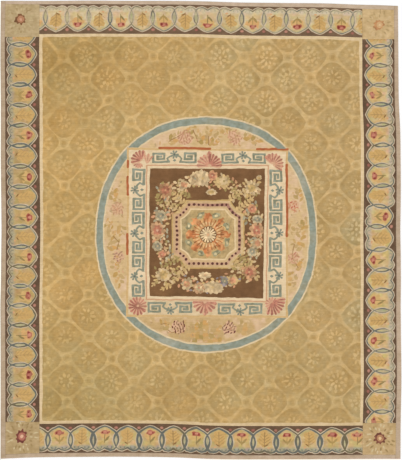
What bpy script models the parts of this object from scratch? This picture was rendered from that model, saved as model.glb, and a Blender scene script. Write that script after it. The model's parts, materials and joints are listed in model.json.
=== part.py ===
"""Aubusson carpet, laid flat: a tapestry-woven wool carpet pieced from thirteen flat parts.

The gold field, with its medallion and cream guard stripe, is woven in one piece. Four border
strips and four corner squares are sewn round it, and a plain woven band is sewn round those.
Every part is a flat slab of the weave's thickness. The hand-woven edges aren't straight, so
each seam is a gently curved line that the two parts on either side of it share.

Metres, +Z up. +X is the carpet's right and +Y its upper end, seen from above. The origin is at
the middle of the underside.
"""

import bpy
import numpy as np

# Overall size of the laid carpet
WIDTH = 4.010
LENGTH = 4.588
THICKNESS = 0.003

# Clear line between two sewn parts
SEAM_GAP = 0.0003

# Spacing of the points along a curved edge
STATION_PITCH = 0.0625

# How far each long side draws in from the full rectangle, in millimetres, at places along Y
LONG_SIDES = {
    "at":    (-2.294, -2.00, -1.50, -1.00, -0.75, -0.50, -0.25, 0.00, 0.25, 0.75, 1.00, 1.25, 1.75, 2.294),
    "left":  (1, 1.5, 2, 1, 0, 6, 8, 11, 9, 4, 4, 4, 0, 5),
    "right": (9, 8, 0, 5, 7, 5, 7, 11, 7, 8, 12, 24, 30, 34),
}

# How far each short side draws in, in millimetres, at places along X
SHORT_SIDES = {
    "at":     (-2.005, -1.70, -1.45, -1.20, -0.70, -0.20, 0.05, 0.30, 0.80, 1.30, 1.55, 1.80, 2.005),
    "bottom": (6, 19, 23, 25, 26, 18, 6, 0, 0, 2, 4, 5, 4),
    "top":    (2, 4, 3, 0, 2, 4, 8, 17, 24, 30, 40, 46, 54),
}

# Widths of the outer band and of the border strips, at the low and the high end of their side
BAND_WIDTH = {
    "left": (0.049, 0.044), "right": (0.048, 0.040), "bottom": (0.042, 0.042), "top": (0.032, 0.042),
}
BORDER_WIDTH = {
    "left": (0.340, 0.343), "right": (0.332, 0.318), "bottom": (0.292, 0.292), "top": (0.299, 0.285),
}

# Where the side borders stop and the corner squares begin, along Y
CORNER_SEAM = {
    "bottom_left": -1.918, "bottom_right": -1.930, "top_left": 1.931, "top_right": 1.908,
}

# Rounds of stepping from line to line until they meet at a corner
CROSSING_ROUNDS = 6

# Wool colours (linear) and roughness of each kind of part
WOOL = {
    "field_wool":  ((0.497, 0.342, 0.138, 1.0), 0.92),
    "border_wool": ((0.318, 0.242, 0.140, 1.0), 0.92),
    "corner_wool": ((0.462, 0.342, 0.178, 1.0), 0.92),
    "band_wool":   ((0.497, 0.366, 0.254, 1.0), 0.94),
}


def smooth_values(places, values, where):
    """Values along a smooth curve through a table's points, as a cubic with matched slopes."""
    places = np.asarray(places, dtype=float)
    values = np.asarray(values, dtype=float)
    slopes = np.gradient(values, places)
    where = np.clip(where, places[0], places[-1])
    cell = np.clip(np.searchsorted(places, where, side="right") - 1, 0, len(places) - 2)
    step = places[cell + 1] - places[cell]
    t = (where - places[cell]) / step
    return (
        (2 * t**3 - 3 * t**2 + 1) * values[cell]
        + (t**3 - 2 * t**2 + t) * step * slopes[cell]
        + (3 * t**2 - 2 * t**3) * values[cell + 1]
        + (t**3 - t**2) * step * slopes[cell + 1]
    )


def side_depth(side, ring, where, half_run):
    """Width of the parts outside a ring's line: none, the band, or the band and the border."""
    share = (where + half_run) / (2 * half_run)
    widths = (BAND_WIDTH, BORDER_WIDTH)[:ring]
    return sum(table[side][0] + (table[side][1] - table[side][0]) * share for table in widths)


def line(side, ring, inset):
    """A side's line as a function along it: ring 0 is the outer edge, 1 the band's seam, 2 the border's.

    The line is moved by inset towards the carpet's middle, or outwards where inset is negative.
    """
    upright = side in ("left", "right")
    table = LONG_SIDES if upright else SHORT_SIDES
    half_span = (WIDTH if upright else LENGTH) / 2
    half_run = (LENGTH if upright else WIDTH) / 2
    outward = 1.0 if side in ("right", "top") else -1.0

    def at(where):
        draw_in = smooth_values(table["at"], table[side], where) / 1000
        depth = side_depth(side, ring, where, half_run)
        return outward * (half_span - np.maximum(draw_in, 0.0) - depth - inset)

    return at


def level(value, inset):
    """A straight line across the carpet at one place along Y, moved by inset."""
    return lambda where: value + inset + 0.0 * where


def crossing(upright, across):
    """The point where an upright line meets one that runs across."""
    x, y = 0.0, float(across(0.0))
    for _ in range(CROSSING_ROUNDS):
        x = float(upright(y))
        y = float(across(x))
    return x, y


def stations(start, end):
    """Places from start to end: the ends, and the whole steps of the pitch between them."""
    low, high = min(start, end), max(start, end)
    margin = STATION_PITCH / 4
    whole = np.arange(np.ceil((low + margin) / STATION_PITCH), np.floor((high - margin) / STATION_PITCH) + 1)
    places = np.concatenate(([low], whole * STATION_PITCH, [high]))
    return places if start < end else places[::-1]


def outline(left, right, bottom, top):
    """The closed outline between four lines, anticlockwise from the lower left corner."""
    corners = [crossing(left, bottom), crossing(right, bottom), crossing(right, top), crossing(left, top)]
    points = []
    for side, rule in enumerate((bottom, right, top, left)):
        start, end = corners[side], corners[(side + 1) % 4]
        axis = side % 2
        places = stations(start[axis], end[axis])[:-1]
        offsets = rule(places)
        points += list(zip(places, offsets) if axis == 0 else zip(offsets, places))
    return points


def slab(name, points, material, collection):
    """A flat part: its outline filled, and given the weave's thickness."""
    curve = bpy.data.curves.new(name, "CURVE")
    curve.dimensions = "2D"
    curve.fill_mode = "BOTH"
    curve.extrude = THICKNESS / 2
    curve.resolution_u = 1
    curve.render_resolution_u = 0
    spline = curve.splines.new("POLY")
    spline.points.add(len(points) - 1)
    for point, (x, y) in zip(spline.points, points):
        point.co = (x, y, 0.0, 1.0)
    spline.use_cyclic_u = True
    curve.materials.append(material)
    part = bpy.data.objects.new(name, curve)
    part.location.z = THICKNESS / 2
    collection.objects.link(part)
    return part


def wool(name, colour, roughness):
    """A plain wool material."""
    material = bpy.data.materials.new(name)
    material.use_nodes = True
    shader = material.node_tree.nodes["Principled BSDF"]
    shader.inputs["Base Color"].default_value = colour
    shader.inputs["Roughness"].default_value = roughness
    shader.inputs["Metallic"].default_value = 0.0
    material.diffuse_color = colour
    return material


def add_field(collection, materials):
    """The field, with medallion and guard stripe, inside the four border seams."""
    half = SEAM_GAP / 2
    points = outline(line("left", 2, half), line("right", 2, half), line("bottom", 2, half), line("top", 2, half))
    slab("field", points, materials["field_wool"], collection)


def add_borders(collection, materials):
    """Four border strips: the side ones stop at the corner squares, the others at the field's lines."""
    half = SEAM_GAP / 2
    for side in ("left", "right"):
        inner = line(side, 2, -half)
        outer = line(side, 1, half)
        left, right = (outer, inner) if side == "left" else (inner, outer)
        bottom = level(CORNER_SEAM["bottom_" + side], half)
        top = level(CORNER_SEAM["top_" + side], -half)
        slab("border_" + side, outline(left, right, bottom, top), materials["border_wool"], collection)
    for end in ("bottom", "top"):
        inner = line(end, 2, -half)
        outer = line(end, 1, half)
        bottom, top = (outer, inner) if end == "bottom" else (inner, outer)
        points = outline(line("left", 2, half), line("right", 2, half), bottom, top)
        slab("border_" + end, points, materials["border_wool"], collection)


def add_corners(collection, materials):
    """Four corner squares, between the band's seams, the border's lines and the side borders."""
    half = SEAM_GAP / 2
    for end in ("bottom", "top"):
        for side in ("left", "right"):
            name = end + "_" + side
            inner = line(side, 2, -half)
            outer = line(side, 1, half)
            left, right = (outer, inner) if side == "left" else (inner, outer)
            split = level(CORNER_SEAM[name], half if end == "top" else -half)
            seam = line(end, 1, half)
            bottom, top = (seam, split) if end == "bottom" else (split, seam)
            slab("corner_" + name, outline(left, right, bottom, top), materials["corner_wool"], collection)


def add_bands(collection, materials):
    """The plain outer band: the side lengths run the whole height, the others lie between them."""
    half = SEAM_GAP / 2
    bottom, top = line("bottom", 0, 0.0), line("top", 0, 0.0)
    for side in ("left", "right"):
        inner = line(side, 1, -half)
        outer = line(side, 0, 0.0)
        left, right = (outer, inner) if side == "left" else (inner, outer)
        slab("band_" + side, outline(left, right, bottom, top), materials["band_wool"], collection)
    left, right = line("left", 1, half), line("right", 1, half)
    low = outline(left, right, bottom, line("bottom", 1, -half))
    high = outline(left, right, line("top", 1, -half), top)
    slab("band_bottom", low, materials["band_wool"], collection)
    slab("band_top", high, materials["band_wool"], collection)


def build_carpet():
    """Clears the scene and builds the thirteen parts in a collection of their own."""
    for old in list(bpy.data.objects):
        bpy.data.objects.remove(old, do_unlink=True)
    collection = bpy.data.collections.new("aubusson_carpet")
    bpy.context.scene.collection.children.link(collection)
    materials = {name: wool(name, *look) for name, look in WOOL.items()}
    add_field(collection, materials)
    add_borders(collection, materials)
    add_corners(collection, materials)
    add_bands(collection, materials)


build_carpet()
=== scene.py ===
"""Looks of a large flat-woven wool carpet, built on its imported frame.

The carpet is a gold trellis field with a medallion, four borders, four corner squares and four
lengths of outer band, sewn edge to edge. Each is a thin slab on a grid. Its drawing is worked out
at the grid's points as colours in layers with signed distances, and the material lays the layers
over each other with crisp woven edges. Drawing places are in centimetres from the carpet's upper
left corner, x to the right and y down. Meshes are in metres.
"""
from __future__ import annotations

import json
import logging
import math
from collections.abc import Callable
from dataclasses import dataclass, replace
from enum import Enum, IntEnum

import bpy
import numpy as np
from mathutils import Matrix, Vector

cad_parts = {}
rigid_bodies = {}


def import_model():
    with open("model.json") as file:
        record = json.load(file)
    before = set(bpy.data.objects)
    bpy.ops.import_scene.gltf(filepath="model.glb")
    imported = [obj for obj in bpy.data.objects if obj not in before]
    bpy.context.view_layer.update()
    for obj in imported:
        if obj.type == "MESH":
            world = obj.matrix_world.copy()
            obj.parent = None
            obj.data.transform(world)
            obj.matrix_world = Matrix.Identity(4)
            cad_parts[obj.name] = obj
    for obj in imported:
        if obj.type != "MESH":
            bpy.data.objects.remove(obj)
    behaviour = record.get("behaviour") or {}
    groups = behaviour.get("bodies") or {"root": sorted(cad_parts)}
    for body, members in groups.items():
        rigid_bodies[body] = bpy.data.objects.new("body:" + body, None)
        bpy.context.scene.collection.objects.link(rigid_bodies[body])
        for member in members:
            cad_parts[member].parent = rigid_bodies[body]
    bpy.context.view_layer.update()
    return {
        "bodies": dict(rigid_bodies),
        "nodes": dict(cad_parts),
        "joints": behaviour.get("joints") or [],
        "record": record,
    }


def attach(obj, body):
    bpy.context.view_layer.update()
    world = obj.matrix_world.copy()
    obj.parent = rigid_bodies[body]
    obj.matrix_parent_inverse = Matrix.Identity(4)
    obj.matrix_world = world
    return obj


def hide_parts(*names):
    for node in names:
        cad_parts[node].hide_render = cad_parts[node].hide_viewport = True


Array = np.ndarray
Point = tuple[float, float]
Screen = tuple[float, float, float]
LOG = logging.getLogger("carpet")
BAKE_MAP = "OFBake"

# In metres: a centimetre of the drawing, the drawing's left and top from the carpet's middle, the cloth.
CENTIMETRE = 0.01
ORIGIN = (2.009, 2.300)
THICKNESS = 0.003

# In centimetres: a distance outside every shape, and the greatest that a mesh holds.
FAR = 1000.0
NEAR = 3.0


def linear(screen: Screen) -> Array:
    """Screen values from 0 to 255 as linear light: a straight run near black, then the 2.4 power."""
    value = np.asarray(screen, dtype=float) / 255
    return np.where(value <= 0.04045, value / 12.92, ((value + 0.055) / 1.055) ** 2.4)


class Dye(Enum):
    """Wool colours, as screen values from 0 to 255."""

    GOLD_LINE = (203, 168, 116)
    GUARD = (214, 188, 147)
    KEY_CREAM = (221, 196, 158)
    BROWN = (96, 73, 54)
    BROWN_SQUARE = (119, 85, 54)
    RING_BLUE = (140, 145, 129)
    FRET_BLUE = (137, 138, 117)
    FLOWER_BLUE = (134, 136, 117)
    RIBBON = (194, 174, 146)
    RIBBON_BLUE = (102, 103, 94)
    LENS_BLUE = (164, 160, 124)
    RED = (170, 96, 58)
    ROSE_RED = (158, 72, 58)
    ROSE_PINK = (208, 142, 118)
    MAUVE = (173, 112, 92)
    MAUVE_DARK = (150, 88, 78)
    OLIVE = (138, 120, 76)
    TAUPE = (182, 159, 133)
    FIELD_WARM = (194, 160, 102)
    FIELD_MIDDLE = (188, 156, 102)
    FIELD_COOL = (184, 154, 104)
    FIELD_LOW_LEFT = (173, 149, 97)
    FIELD_LOW = (181, 151, 98)
    SPRIG_GOLD = (202, 168, 122)
    SPRIG_PINK = (214, 168, 140)
    BOUGH_WORN = (202, 169, 122)
    STROKE_WORN = (202, 169, 124)
    ROUNDEL_GOLD = (205, 174, 126)
    ROUNDEL_LOW = (191, 159, 109)
    ROUNDEL_PINK = (214, 181, 147)
    STEM = (156, 120, 76)
    RING_CREAM = (214, 190, 150)
    RING_WORN = (168, 158, 132)
    FLOWER_EYE = (104, 108, 96)
    MAUVE_PALE = (212, 158, 128)
    FAN_BED = (208, 165, 131)
    PINK_LINE = (198, 152, 116)
    PANEL_WEST = (184, 154, 102)
    PANEL_EAST = (194, 162, 110)
    PANEL_GREY = (152, 140, 108)
    RIM_WEST = (196, 161, 118)
    RIM_EAST = (202, 172, 126)
    RIM_GOLD = (190, 156, 96)
    BEADING_MAUVE = (167, 122, 103)
    BEADING_PINK = (196, 156, 124)
    PANEL_CREAM = (220, 192, 148)
    BEAD = (94, 58, 48)
    STAR_LIGHT = (206, 148, 98)
    STAR_DEEP = (186, 114, 68)
    STAR_GOLD = (205, 156, 102)
    STAR_STROKE = (158, 98, 58)
    STAR_PALE = (222, 182, 132)
    BUD = (156, 148, 114)
    BUD_PALE = (204, 186, 142)
    BUD_LEAF = (132, 120, 84)
    DAISY_EDGE = (112, 76, 48)
    DAISY = (222, 194, 150)
    DAISY_EYE = (212, 166, 124)
    BROWN_WORN = (112, 88, 66)
    SHIELD_EDGE = (176, 158, 104)
    LENS_WARM = (190, 172, 132)
    RIBBON_DULL = (178, 164, 128)
    RIBBON_BROWN = (112, 98, 68)
    DOT_DEEP = (144, 92, 78)
    DOT_PINK = (176, 126, 106)
    ROSE_BED = (200, 166, 106)
    ROSE_BED_WARM = (205, 158, 104)
    OLIVE_PALE = (170, 140, 84)
    ROSE_DEEP = (140, 58, 48)
    ROSE_FADED = (192, 144, 112)
    BLOTCH = (196, 158, 98)
    VEIN_PALE = (184, 150, 96)
    VEIN_DARK = (148, 116, 72)
    DAB_DARK = (136, 100, 60)
    DAB_PINK = (204, 156, 112)

    @property
    def wool(self) -> Array:
        """The colour as linear light."""
        return linear(self.value)

    def towards(self, other: "Dye", share: Array | float) -> Array:
        """The colour blended with another, point by point."""
        return mix(self.wool, other.wool, share)


class Layer(IntEnum):
    """Depth of a shape in the drawing, from the lowest to the highest."""

    AREA = 0
    BAND = 1
    LINE = 2
    MOTIF = 3
    DETAIL = 4

    @property
    def stem(self) -> str:
        """Start of the names of the layer's values in a mesh."""
        return self.name.lower()


def fade(low: float, high: float, value: Array) -> Array:
    """0 below low, 1 above high, and the smoothstep curve between them."""
    t = np.clip((value - low) / (high - low), 0.0, 1.0)
    return t * t * (3 - 2 * t)


def mix(a: Array, b: Array, share: Array | float) -> Array:
    """Two colours blended point by point."""
    share = np.asarray(share)[..., None]
    return a * (1 - share) + b * share


def wear(amount: Array | float) -> Array:
    """Lighter or darker by an amount at each point, as one factor a channel: most in blue, least in red."""
    return 1.0 + np.asarray(amount)[..., None] * (1.0, 1.15, 1.6)


def cloud(x: Array, y: Array, scale: float, seed: int, cells: int = 64, start: Point = (7.3, 3.1)) -> Array:
    """Smooth random values from -1 to 1: random numbers on a square grid, joined by the smoothstep curve.

    Args:
        x: Place across.
        y: Place down.
        scale: Distance between the grid's lines.
        seed: Start of the random numbers.
        cells: Number of lines after which the grid repeats.
        start: The grid's place at the origin, in lines.
    """
    table = np.random.default_rng(seed).uniform(-1.0, 1.0, (cells, cells))
    gx, gy = x / scale + start[0], y / scale + start[1]
    ix, iy = np.floor(gx).astype(int), np.floor(gy).astype(int)
    tx, ty = fade(0.0, 1.0, gx - ix), fade(0.0, 1.0, gy - iy)
    ix, iy = ix % cells, iy % cells
    jx, jy = (ix + 1) % cells, (iy + 1) % cells
    low = table[iy, ix] * (1 - tx) + table[iy, jx] * tx
    high = table[jy, ix] * (1 - tx) + table[jy, jx] * tx
    return low * (1 - ty) + high * ty


def lottery(number: Array, seed: float = 0.0) -> Array:
    """One fixed random value from 0 to 1 for each whole number: the far digits of its sine."""
    return np.modf(np.abs(np.sin(number * 12.9898 + 4.1 + seed * 7.77)) * 43758.5453)[0]


def disc(u: Array, v: Array, radius: float) -> Array:
    """Distance outside a circle about the origin."""
    return np.hypot(u, v) - radius


def oval(u: Array, v: Array, along: float, across: float) -> Array:
    """About the distance outside an ellipse: its scaled radius less one, times the smaller half-axis."""
    return (np.hypot(u / along, v / across) - 1.0) * min(along, across)


def run(u: Array, v: Array, start: Point, end: Point) -> Array:
    """Distance to a straight run between two points: the foot of the perpendicular, held between the ends."""
    du, dv = end[0] - start[0], end[1] - start[1]
    t = np.clip(((u - start[0]) * du + (v - start[1]) * dv) / (du * du + dv * dv), 0.0, 1.0)
    return np.hypot(u - start[0] - t * du, v - start[1] - t * dv)


def route(u: Array, v: Array, points: tuple[Point, ...]) -> Array:
    """Distance to a bent line: the least of the distances to its runs."""
    return np.min([run(u, v, a, b) for a, b in zip(points, points[1:])], axis=0)


def lobed(u: Array, v: Array, radius: float, lobes: int, depth: float) -> Array:
    """Distance outside a flower outline: a circle whose radius swells with the cosine of the angle."""
    return np.hypot(u, v) - radius * (1.0 + depth * np.cos(lobes * np.arctan2(v, u)))


def leaf(u: Array, v: Array, length: float, width: float) -> Array:
    """Distance outside a pointed leaf along u: the half-width follows half a sine wave from base to tip."""
    t = np.clip(u / length, 0.0, 1.0)
    half = 0.5 * width * np.sin(np.pi * t) ** 0.8
    outside = np.hypot(np.maximum(np.abs(v) - half, 0.0), u - t * length)
    return outside + np.minimum(np.abs(v) - half, 0.0)


def rays(u: Array, v: Array, count: int, spread: float, inner: float, outer: float, width: float) -> Array:
    """Distance outside a fan of round-ended petals about the u axis: the angle is folded onto one petal.

    Args:
        u: Distance along the fan's axis.
        v: Distance across it.
        count: Number of petals.
        spread: Angle from the first petal to the last, or 360 for a full round, in degrees.
        inner: Radius where the petals start.
        outer: Radius of their tips.
        width: Width near the tip.
    """
    step = np.radians(360.0 / count if spread >= 360 else spread / max(count - 1, 1))
    radius, angle = np.hypot(u, v), np.arctan2(v, u)
    shift = 0.0 if spread >= 360 else ((count - 1) % 2) * step / 2
    cell = np.round((angle - shift) / step)
    if spread < 360:
        low = -((count - 1) // 2) - ((count - 1) % 2)
        cell = np.clip(cell, low, low + count - 1)
    turn = angle - shift - cell * step
    along, across = radius * np.cos(turn), radius * np.sin(turn)
    half, foot = 0.5 * width, 0.35
    t = np.clip(along, inner, outer - half)
    grown = foot + (1 - foot) * (t - inner) / max(outer - half - inner, 1e-6)
    return np.hypot(across, along - t) - half * grown


def table_curve(places: tuple[float, ...], values: tuple[float, ...], where: Array) -> Array:
    """Straight runs through a short table, carried on past both ends."""
    inside = np.interp(where, places, values)
    first = (values[1] - values[0]) / (places[1] - places[0])
    last = (values[-1] - values[-2]) / (places[-1] - places[-2])
    below = np.minimum(where - places[0], 0.0) * first
    above = np.maximum(where - places[-1], 0.0) * last
    return inside + below + above


class Weaving:
    """Wool colours at a set of points, in layers: a ground, and shapes with crisp edges above it.

    Each layer holds a colour and a signed distance, negative inside its shapes. The edge is where
    the distance is zero, so it stays crisp between the points.
    """

    def __init__(self, x: Array, y: Array, wobble: float = 0.40, seed: int = 5) -> None:
        """Starts a plain weaving at points in drawing centimetres.

        Args:
            x: Distance from the drawing's left side.
            y: Distance down from the drawing's top.
            wobble: How far the hand-woven lines stray, in centimetres.
            seed: Start of the random numbers.
        """
        self.raw_x, self.raw_y = x, y
        self.x = x + wobble * (cloud(x, y, 9.0, seed) + 0.6 * cloud(x, y, 3.1, seed + 1))
        self.y = y + wobble * (cloud(x, y, 9.0, seed + 2) + 0.6 * cloud(x, y, 3.1, seed + 3))
        self.ground = np.zeros((x.size, 3))
        self.colour = np.zeros((len(Layer), x.size, 3))
        self.distance = np.full((len(Layer), x.size), FAR)

    def cloud(self, scale: float, seed: int) -> Array:
        """Smooth random values from -1 to 1 at the points."""
        return cloud(self.x, self.y, scale, seed)

    def paint(self, layer: Layer, distance: Array, colour: Array, pick: Array | None = None) -> None:
        """Adds a shape to a layer, and keeps what is there where the older shape is nearer."""
        pick = np.arange(self.x.size) if pick is None else pick
        nearer = distance < self.distance[layer][pick]
        index = pick[nearer]
        self.distance[layer][index] = distance[nearer]
        self.colour[layer][index] = np.broadcast_to(colour, (distance.size, 3))[nearer]

    def clear(self, distance: Array, ground: Array) -> None:
        """Cuts a shape out of every layer, and gives it a new ground."""
        self.distance = np.maximum(self.distance, -distance)
        inside = distance < 0
        self.ground[inside] = np.broadcast_to(ground, self.ground.shape)[inside]

    def patch(self, x: float, y: float, reach: float, turn: float = 0.0) -> "Patch":
        """The points near a place, with axes of their own: u is turned clockwise from the drawing's right."""
        pick = np.nonzero((np.abs(self.x - x) < reach) & (np.abs(self.y - y) < reach))[0]
        dx, dy = self.x[pick] - x, self.y[pick] - y
        c, s = np.cos(np.radians(turn)), np.sin(np.radians(turn))
        return Patch(self, pick, dx * c + dy * s, dy * c - dx * s)

    def store(self, mesh: bpy.types.Mesh) -> None:
        """Writes the ground and the layers to a mesh, whose points are this weaving's."""
        def colours(name: str, values: Array) -> None:
            """Writes one colour for each point."""
            full = np.ones((len(values), 4), dtype=np.float32)
            full[:, :3] = np.clip(values, 0.0, 1.0)
            mesh.attributes.new(name, "FLOAT_COLOR", "POINT").data.foreach_set("color", full.ravel())

        colours("ground", self.ground)
        for layer in Layer:
            colours(f"{layer.stem}_colour", self.colour[layer])
            near = np.clip(self.distance[layer], -NEAR, NEAR).astype(np.float32)
            mesh.attributes.new(f"{layer.stem}_distance", "FLOAT", "POINT").data.foreach_set("value", near)


@dataclass
class Patch:
    """A part of a weaving seen from a motif's own place, with u and v in centimetres."""

    weaving: Weaving
    pick: Array
    u: Array
    v: Array

    def cloud(self, scale: float, seed: int) -> Array:
        """The weaving's smooth random values at the points."""
        return cloud(self.weaving.x[self.pick], self.weaving.y[self.pick], scale, seed)

    def paint(self, layer: Layer, distance: Array, colour: Array | Dye) -> None:
        """Adds a shape whose distance was worked out on this patch."""
        wool = colour.wool if isinstance(colour, Dye) else colour
        self.weaving.paint(layer, distance, wool, self.pick)

    def moved(self, u: float, v: float, turn: float = 0.0) -> "Patch":
        """The same points seen from another place on the motif, turned there."""
        c, s = np.cos(np.radians(turn)), np.sin(np.radians(turn))
        du, dv = self.u - u, self.v - v
        return Patch(self.weaving, self.pick, du * c + dv * s, dv * c - du * s)


def abrash(w: Weaving, width: float = 402.0) -> Array:
    """The field's gold, which drifts from warm on the left to greyer on the right and greener below."""
    across = np.clip(w.x / width, 0, 1)
    tone = Dye.FIELD_WARM.towards(Dye.FIELD_MIDDLE, np.clip(2 * across, 0, 1))
    tone = mix(tone, Dye.FIELD_COOL.wool, np.clip(2 * across - 1, 0, 1))
    green = Dye.FIELD_LOW_LEFT.towards(Dye.FIELD_LOW, fade(70.0, 170.0, w.x))
    tone = mix(tone, green, fade(300.0, 400.0, w.y) * 0.85 * (1.0 - 0.25 * across))
    corner = fade(170.0, 60.0, w.y) * fade(190.0, 70.0, w.x)
    light = 0.04 * w.cloud(31.0, 11) + 0.03 * w.cloud(11.0, 12) + 0.04 * cloud(w.x * 3.0, w.y, 26.0, 13)
    return tone * wear(light - 0.13 * corner - 0.05 * fade(130.0, 60.0, w.x))


@dataclass(frozen=True)
class Trellis:
    """The gold field: a diagonal trellis of pale bands with a dotted rosette in each compartment."""

    start: Point = (63.0, 57.0)
    pitch: Point = (45.0, 43.1)
    lean: float = 0.0116
    bend: float = 0.8
    stray: float = 0.8
    reach: float = 14.6
    half: Point = (18.2, 16.2)
    power: int = 8
    petals: tuple[tuple[int, float, Point], ...] = ((8, 5.0, (2.2, 1.15)), (10, 9.4, (1.9, 1.4)))
    heart: float = 1.3
    bed: float = 7.6
    node: float = 4.5
    node_line: float = 0.7
    knot: float = 2.0
    warm: Screen = (0.028, -0.008, -0.044)
    blue: Screen = (-0.055, 0.005, 0.090)

    def places(self, p: Array, q: Array) -> tuple[Array, Array]:
        """Centimetres across and down for steps along the two diagonals."""
        return self.pitch[0] * (p + q) / 2, self.pitch[1] * (q - p) / 2

    def paint(self, w: Weaving) -> None:
        """Compartments of the diagonal grid p = u - v, q = u + v are rounded octagons; the rest is band.

        An octagon is where the sum of its scaled diagonal, width and height, each to a high power,
        is below one. Its wool is tinted and worn by its own random values and by slow clouds.
        """
        x, y = w.x + self.bend * w.cloud(15.0, 14), w.y + self.bend * w.cloud(15.0, 16)
        u = (x - self.start[0] - self.lean * (y - self.start[1])) / self.pitch[0]
        v = (y - self.start[1]) / self.pitch[1]
        p, q = u - v, u + v
        row, column = np.floor(p), np.floor(q)
        number = row * 6.1 + column * 17.3
        chance, stray_x, stray_y, luck, drift = (lottery(number, float(seed)) for seed in range(5))
        dx, dy = self.places(p - row - 0.5, q - column - 0.5)
        dx, dy = dx + self.stray * (2 * stray_x - 1), dy + self.stray * (2 * stray_y - 1)
        sides = np.stack([(np.abs(dx) + np.abs(dy)) / np.sqrt(2) / self.reach, np.abs(dx) / self.half[0],
                          np.abs(dy) / self.half[1]])
        octagon = ((sides**self.power).sum(axis=0) ** (1 / self.power) - 1.0) * self.reach

        right = fade(190.0, 300.0, w.x)
        rub = 0.72 + 0.40 * w.cloud(12.0, 17)
        strength = (0.50 + 0.60 * chance) * (0.75 + 0.25 * right) * rub
        fleck = 0.045 * cloud(w.x * 1.3, w.y, 2.1, 18) + 0.06 * w.cloud(5.0, 19)
        warm = 0.9 * w.cloud(16.0, 24) + 0.6 * (2 * drift - 1) * fade(1.0, -1.0, octagon)
        tint = warm[:, None] * self.warm + 0.05 * w.cloud(3.1, 27)[:, None] * (0.7, 0.0, -1.5)
        blue = np.where(luck > 0.84, 0.5 + 0.5 * right, 0.10 * right) * fade(-2.0, 1.0, -octagon)
        base = abrash(w) * wear(fleck) * (1.0 + (tint + blue[:, None] * self.blue))
        shown = 0.35 + 0.65 * fade(-0.75, 0.0, w.cloud(11.0, 40) + 0.3 * w.cloud(4.0, 55))

        w.ground[:] = base * wear(0.02 + (0.03 + 0.12 * rub) * shown)
        r, angle = np.hypot(dx, dy), np.arctan2(dy, dx)
        rim = fade(9.0, 14.0, r + 0.7 * np.cos(8 * angle))
        crisp = 0.16 + 0.5 * fade(-0.1, 0.8, w.cloud(8.0, 15))
        w.paint(Layer.AREA, octagon * crisp, base * wear(0.01 - (0.055 + 0.11 * rim * strength) * shown))
        w.paint(Layer.BAND, r - self.bed + 1.3 * w.cloud(3.4, 28), base * wear(-0.05 - 0.09 * strength))
        rosette = self.rosette(r, angle, chance, luck) + 0.55 * w.cloud(2.4, 26)
        w.paint(Layer.MOTIF, rosette, base * wear(0.04 + 0.17 * strength))
        across, down = self.places(p - np.round(p), q - np.round(q))
        node = np.hypot(across, down) - self.node
        w.paint(Layer.LINE, 0.5 * (np.abs(node) - self.node_line), base * wear(0.06 + 0.11 * shown))
        w.paint(Layer.BAND, node, base * wear(0.03))
        knot = 0.5 * (np.maximum(np.abs(across), np.abs(down)) - self.knot)
        w.paint(Layer.MOTIF, knot, base * wear(0.02 - (0.05 + 0.12 * strength) * shown))

    def rosette(self, r: Array, angle: Array, chance: Array, luck: Array) -> Array:
        """Distance outside a compartment's rosette: a heart and rings of oval petals, some of them worn.

        Args:
            r: Distance from the compartment's middle.
            angle: Angle about it.
            chance: The compartment's random value for its size.
            luck: Its random value for its turn and its wear.
        """
        shape = (r - self.heart) + 1.0 * (luck < 0.3)
        for count, radius, (along, across) in self.petals:
            turn = np.mod(angle + 6.3 * luck, 2 * np.pi / count) - np.pi / count
            out, side = r * np.cos(turn) - radius * (0.92 + 0.16 * chance), r * np.sin(turn)
            petal = (np.hypot(out / along, side / across) - 1.0) * across
            shape = np.minimum(shape, petal + 0.8 * (radius > self.bed) * (luck < 0.35))
        return shape


def stroke(w: Weaving, place: Point, turn: float, chance: Array, colour: Screen, strength: float) -> None:
    """One short oval stroke, 2 to 4 cm long, faint where its first random value is low."""
    p = w.patch(place[0], place[1], 4.0, turn)
    tone = mix(Dye.STROKE_WORN.wool, linear(colour), strength * (0.6 + 0.7 * chance[0]))
    edge = oval(p.u, p.v, 1.0 + 1.0 * chance[1], 0.5 + 0.4 * chance[2])
    p.paint(Layer.MOTIF, edge + 0.3 * (chance[2] - 0.5), tone)


@dataclass(frozen=True)
class Sprig:
    """A loose flower of short strokes on the pinkish ground between the ring and the square."""

    x: float
    y: float
    radius: float
    colour: Screen
    strength: float = 0.6
    bed: float = 0.5
    density: float = 0.42
    turn: float = 2.4

    def paint(self, w: Weaving, draw: np.random.Generator) -> None:
        """A pale pink bed, and strokes at even turns on a widening spiral."""
        p = w.patch(self.x, self.y, self.radius + 4)
        edge = disc(p.u, p.v, 0.9 * self.radius) + 1.8 * p.cloud(3.0, 25)
        p.paint(Layer.BAND, edge, Dye.SPRIG_GOLD.towards(Dye.SPRIG_PINK, self.bed))
        count = round(self.density * self.radius**2)
        for i in range(count):
            angle, r = self.turn * i, self.radius * np.sqrt((i + 0.5) / count)
            place = (self.x + r * np.cos(angle), self.y + r * np.sin(angle))
            stroke(w, place, draw.normal(90.0, 45.0), draw.uniform(0.0, 1.0, 3), self.colour, self.strength)


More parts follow.
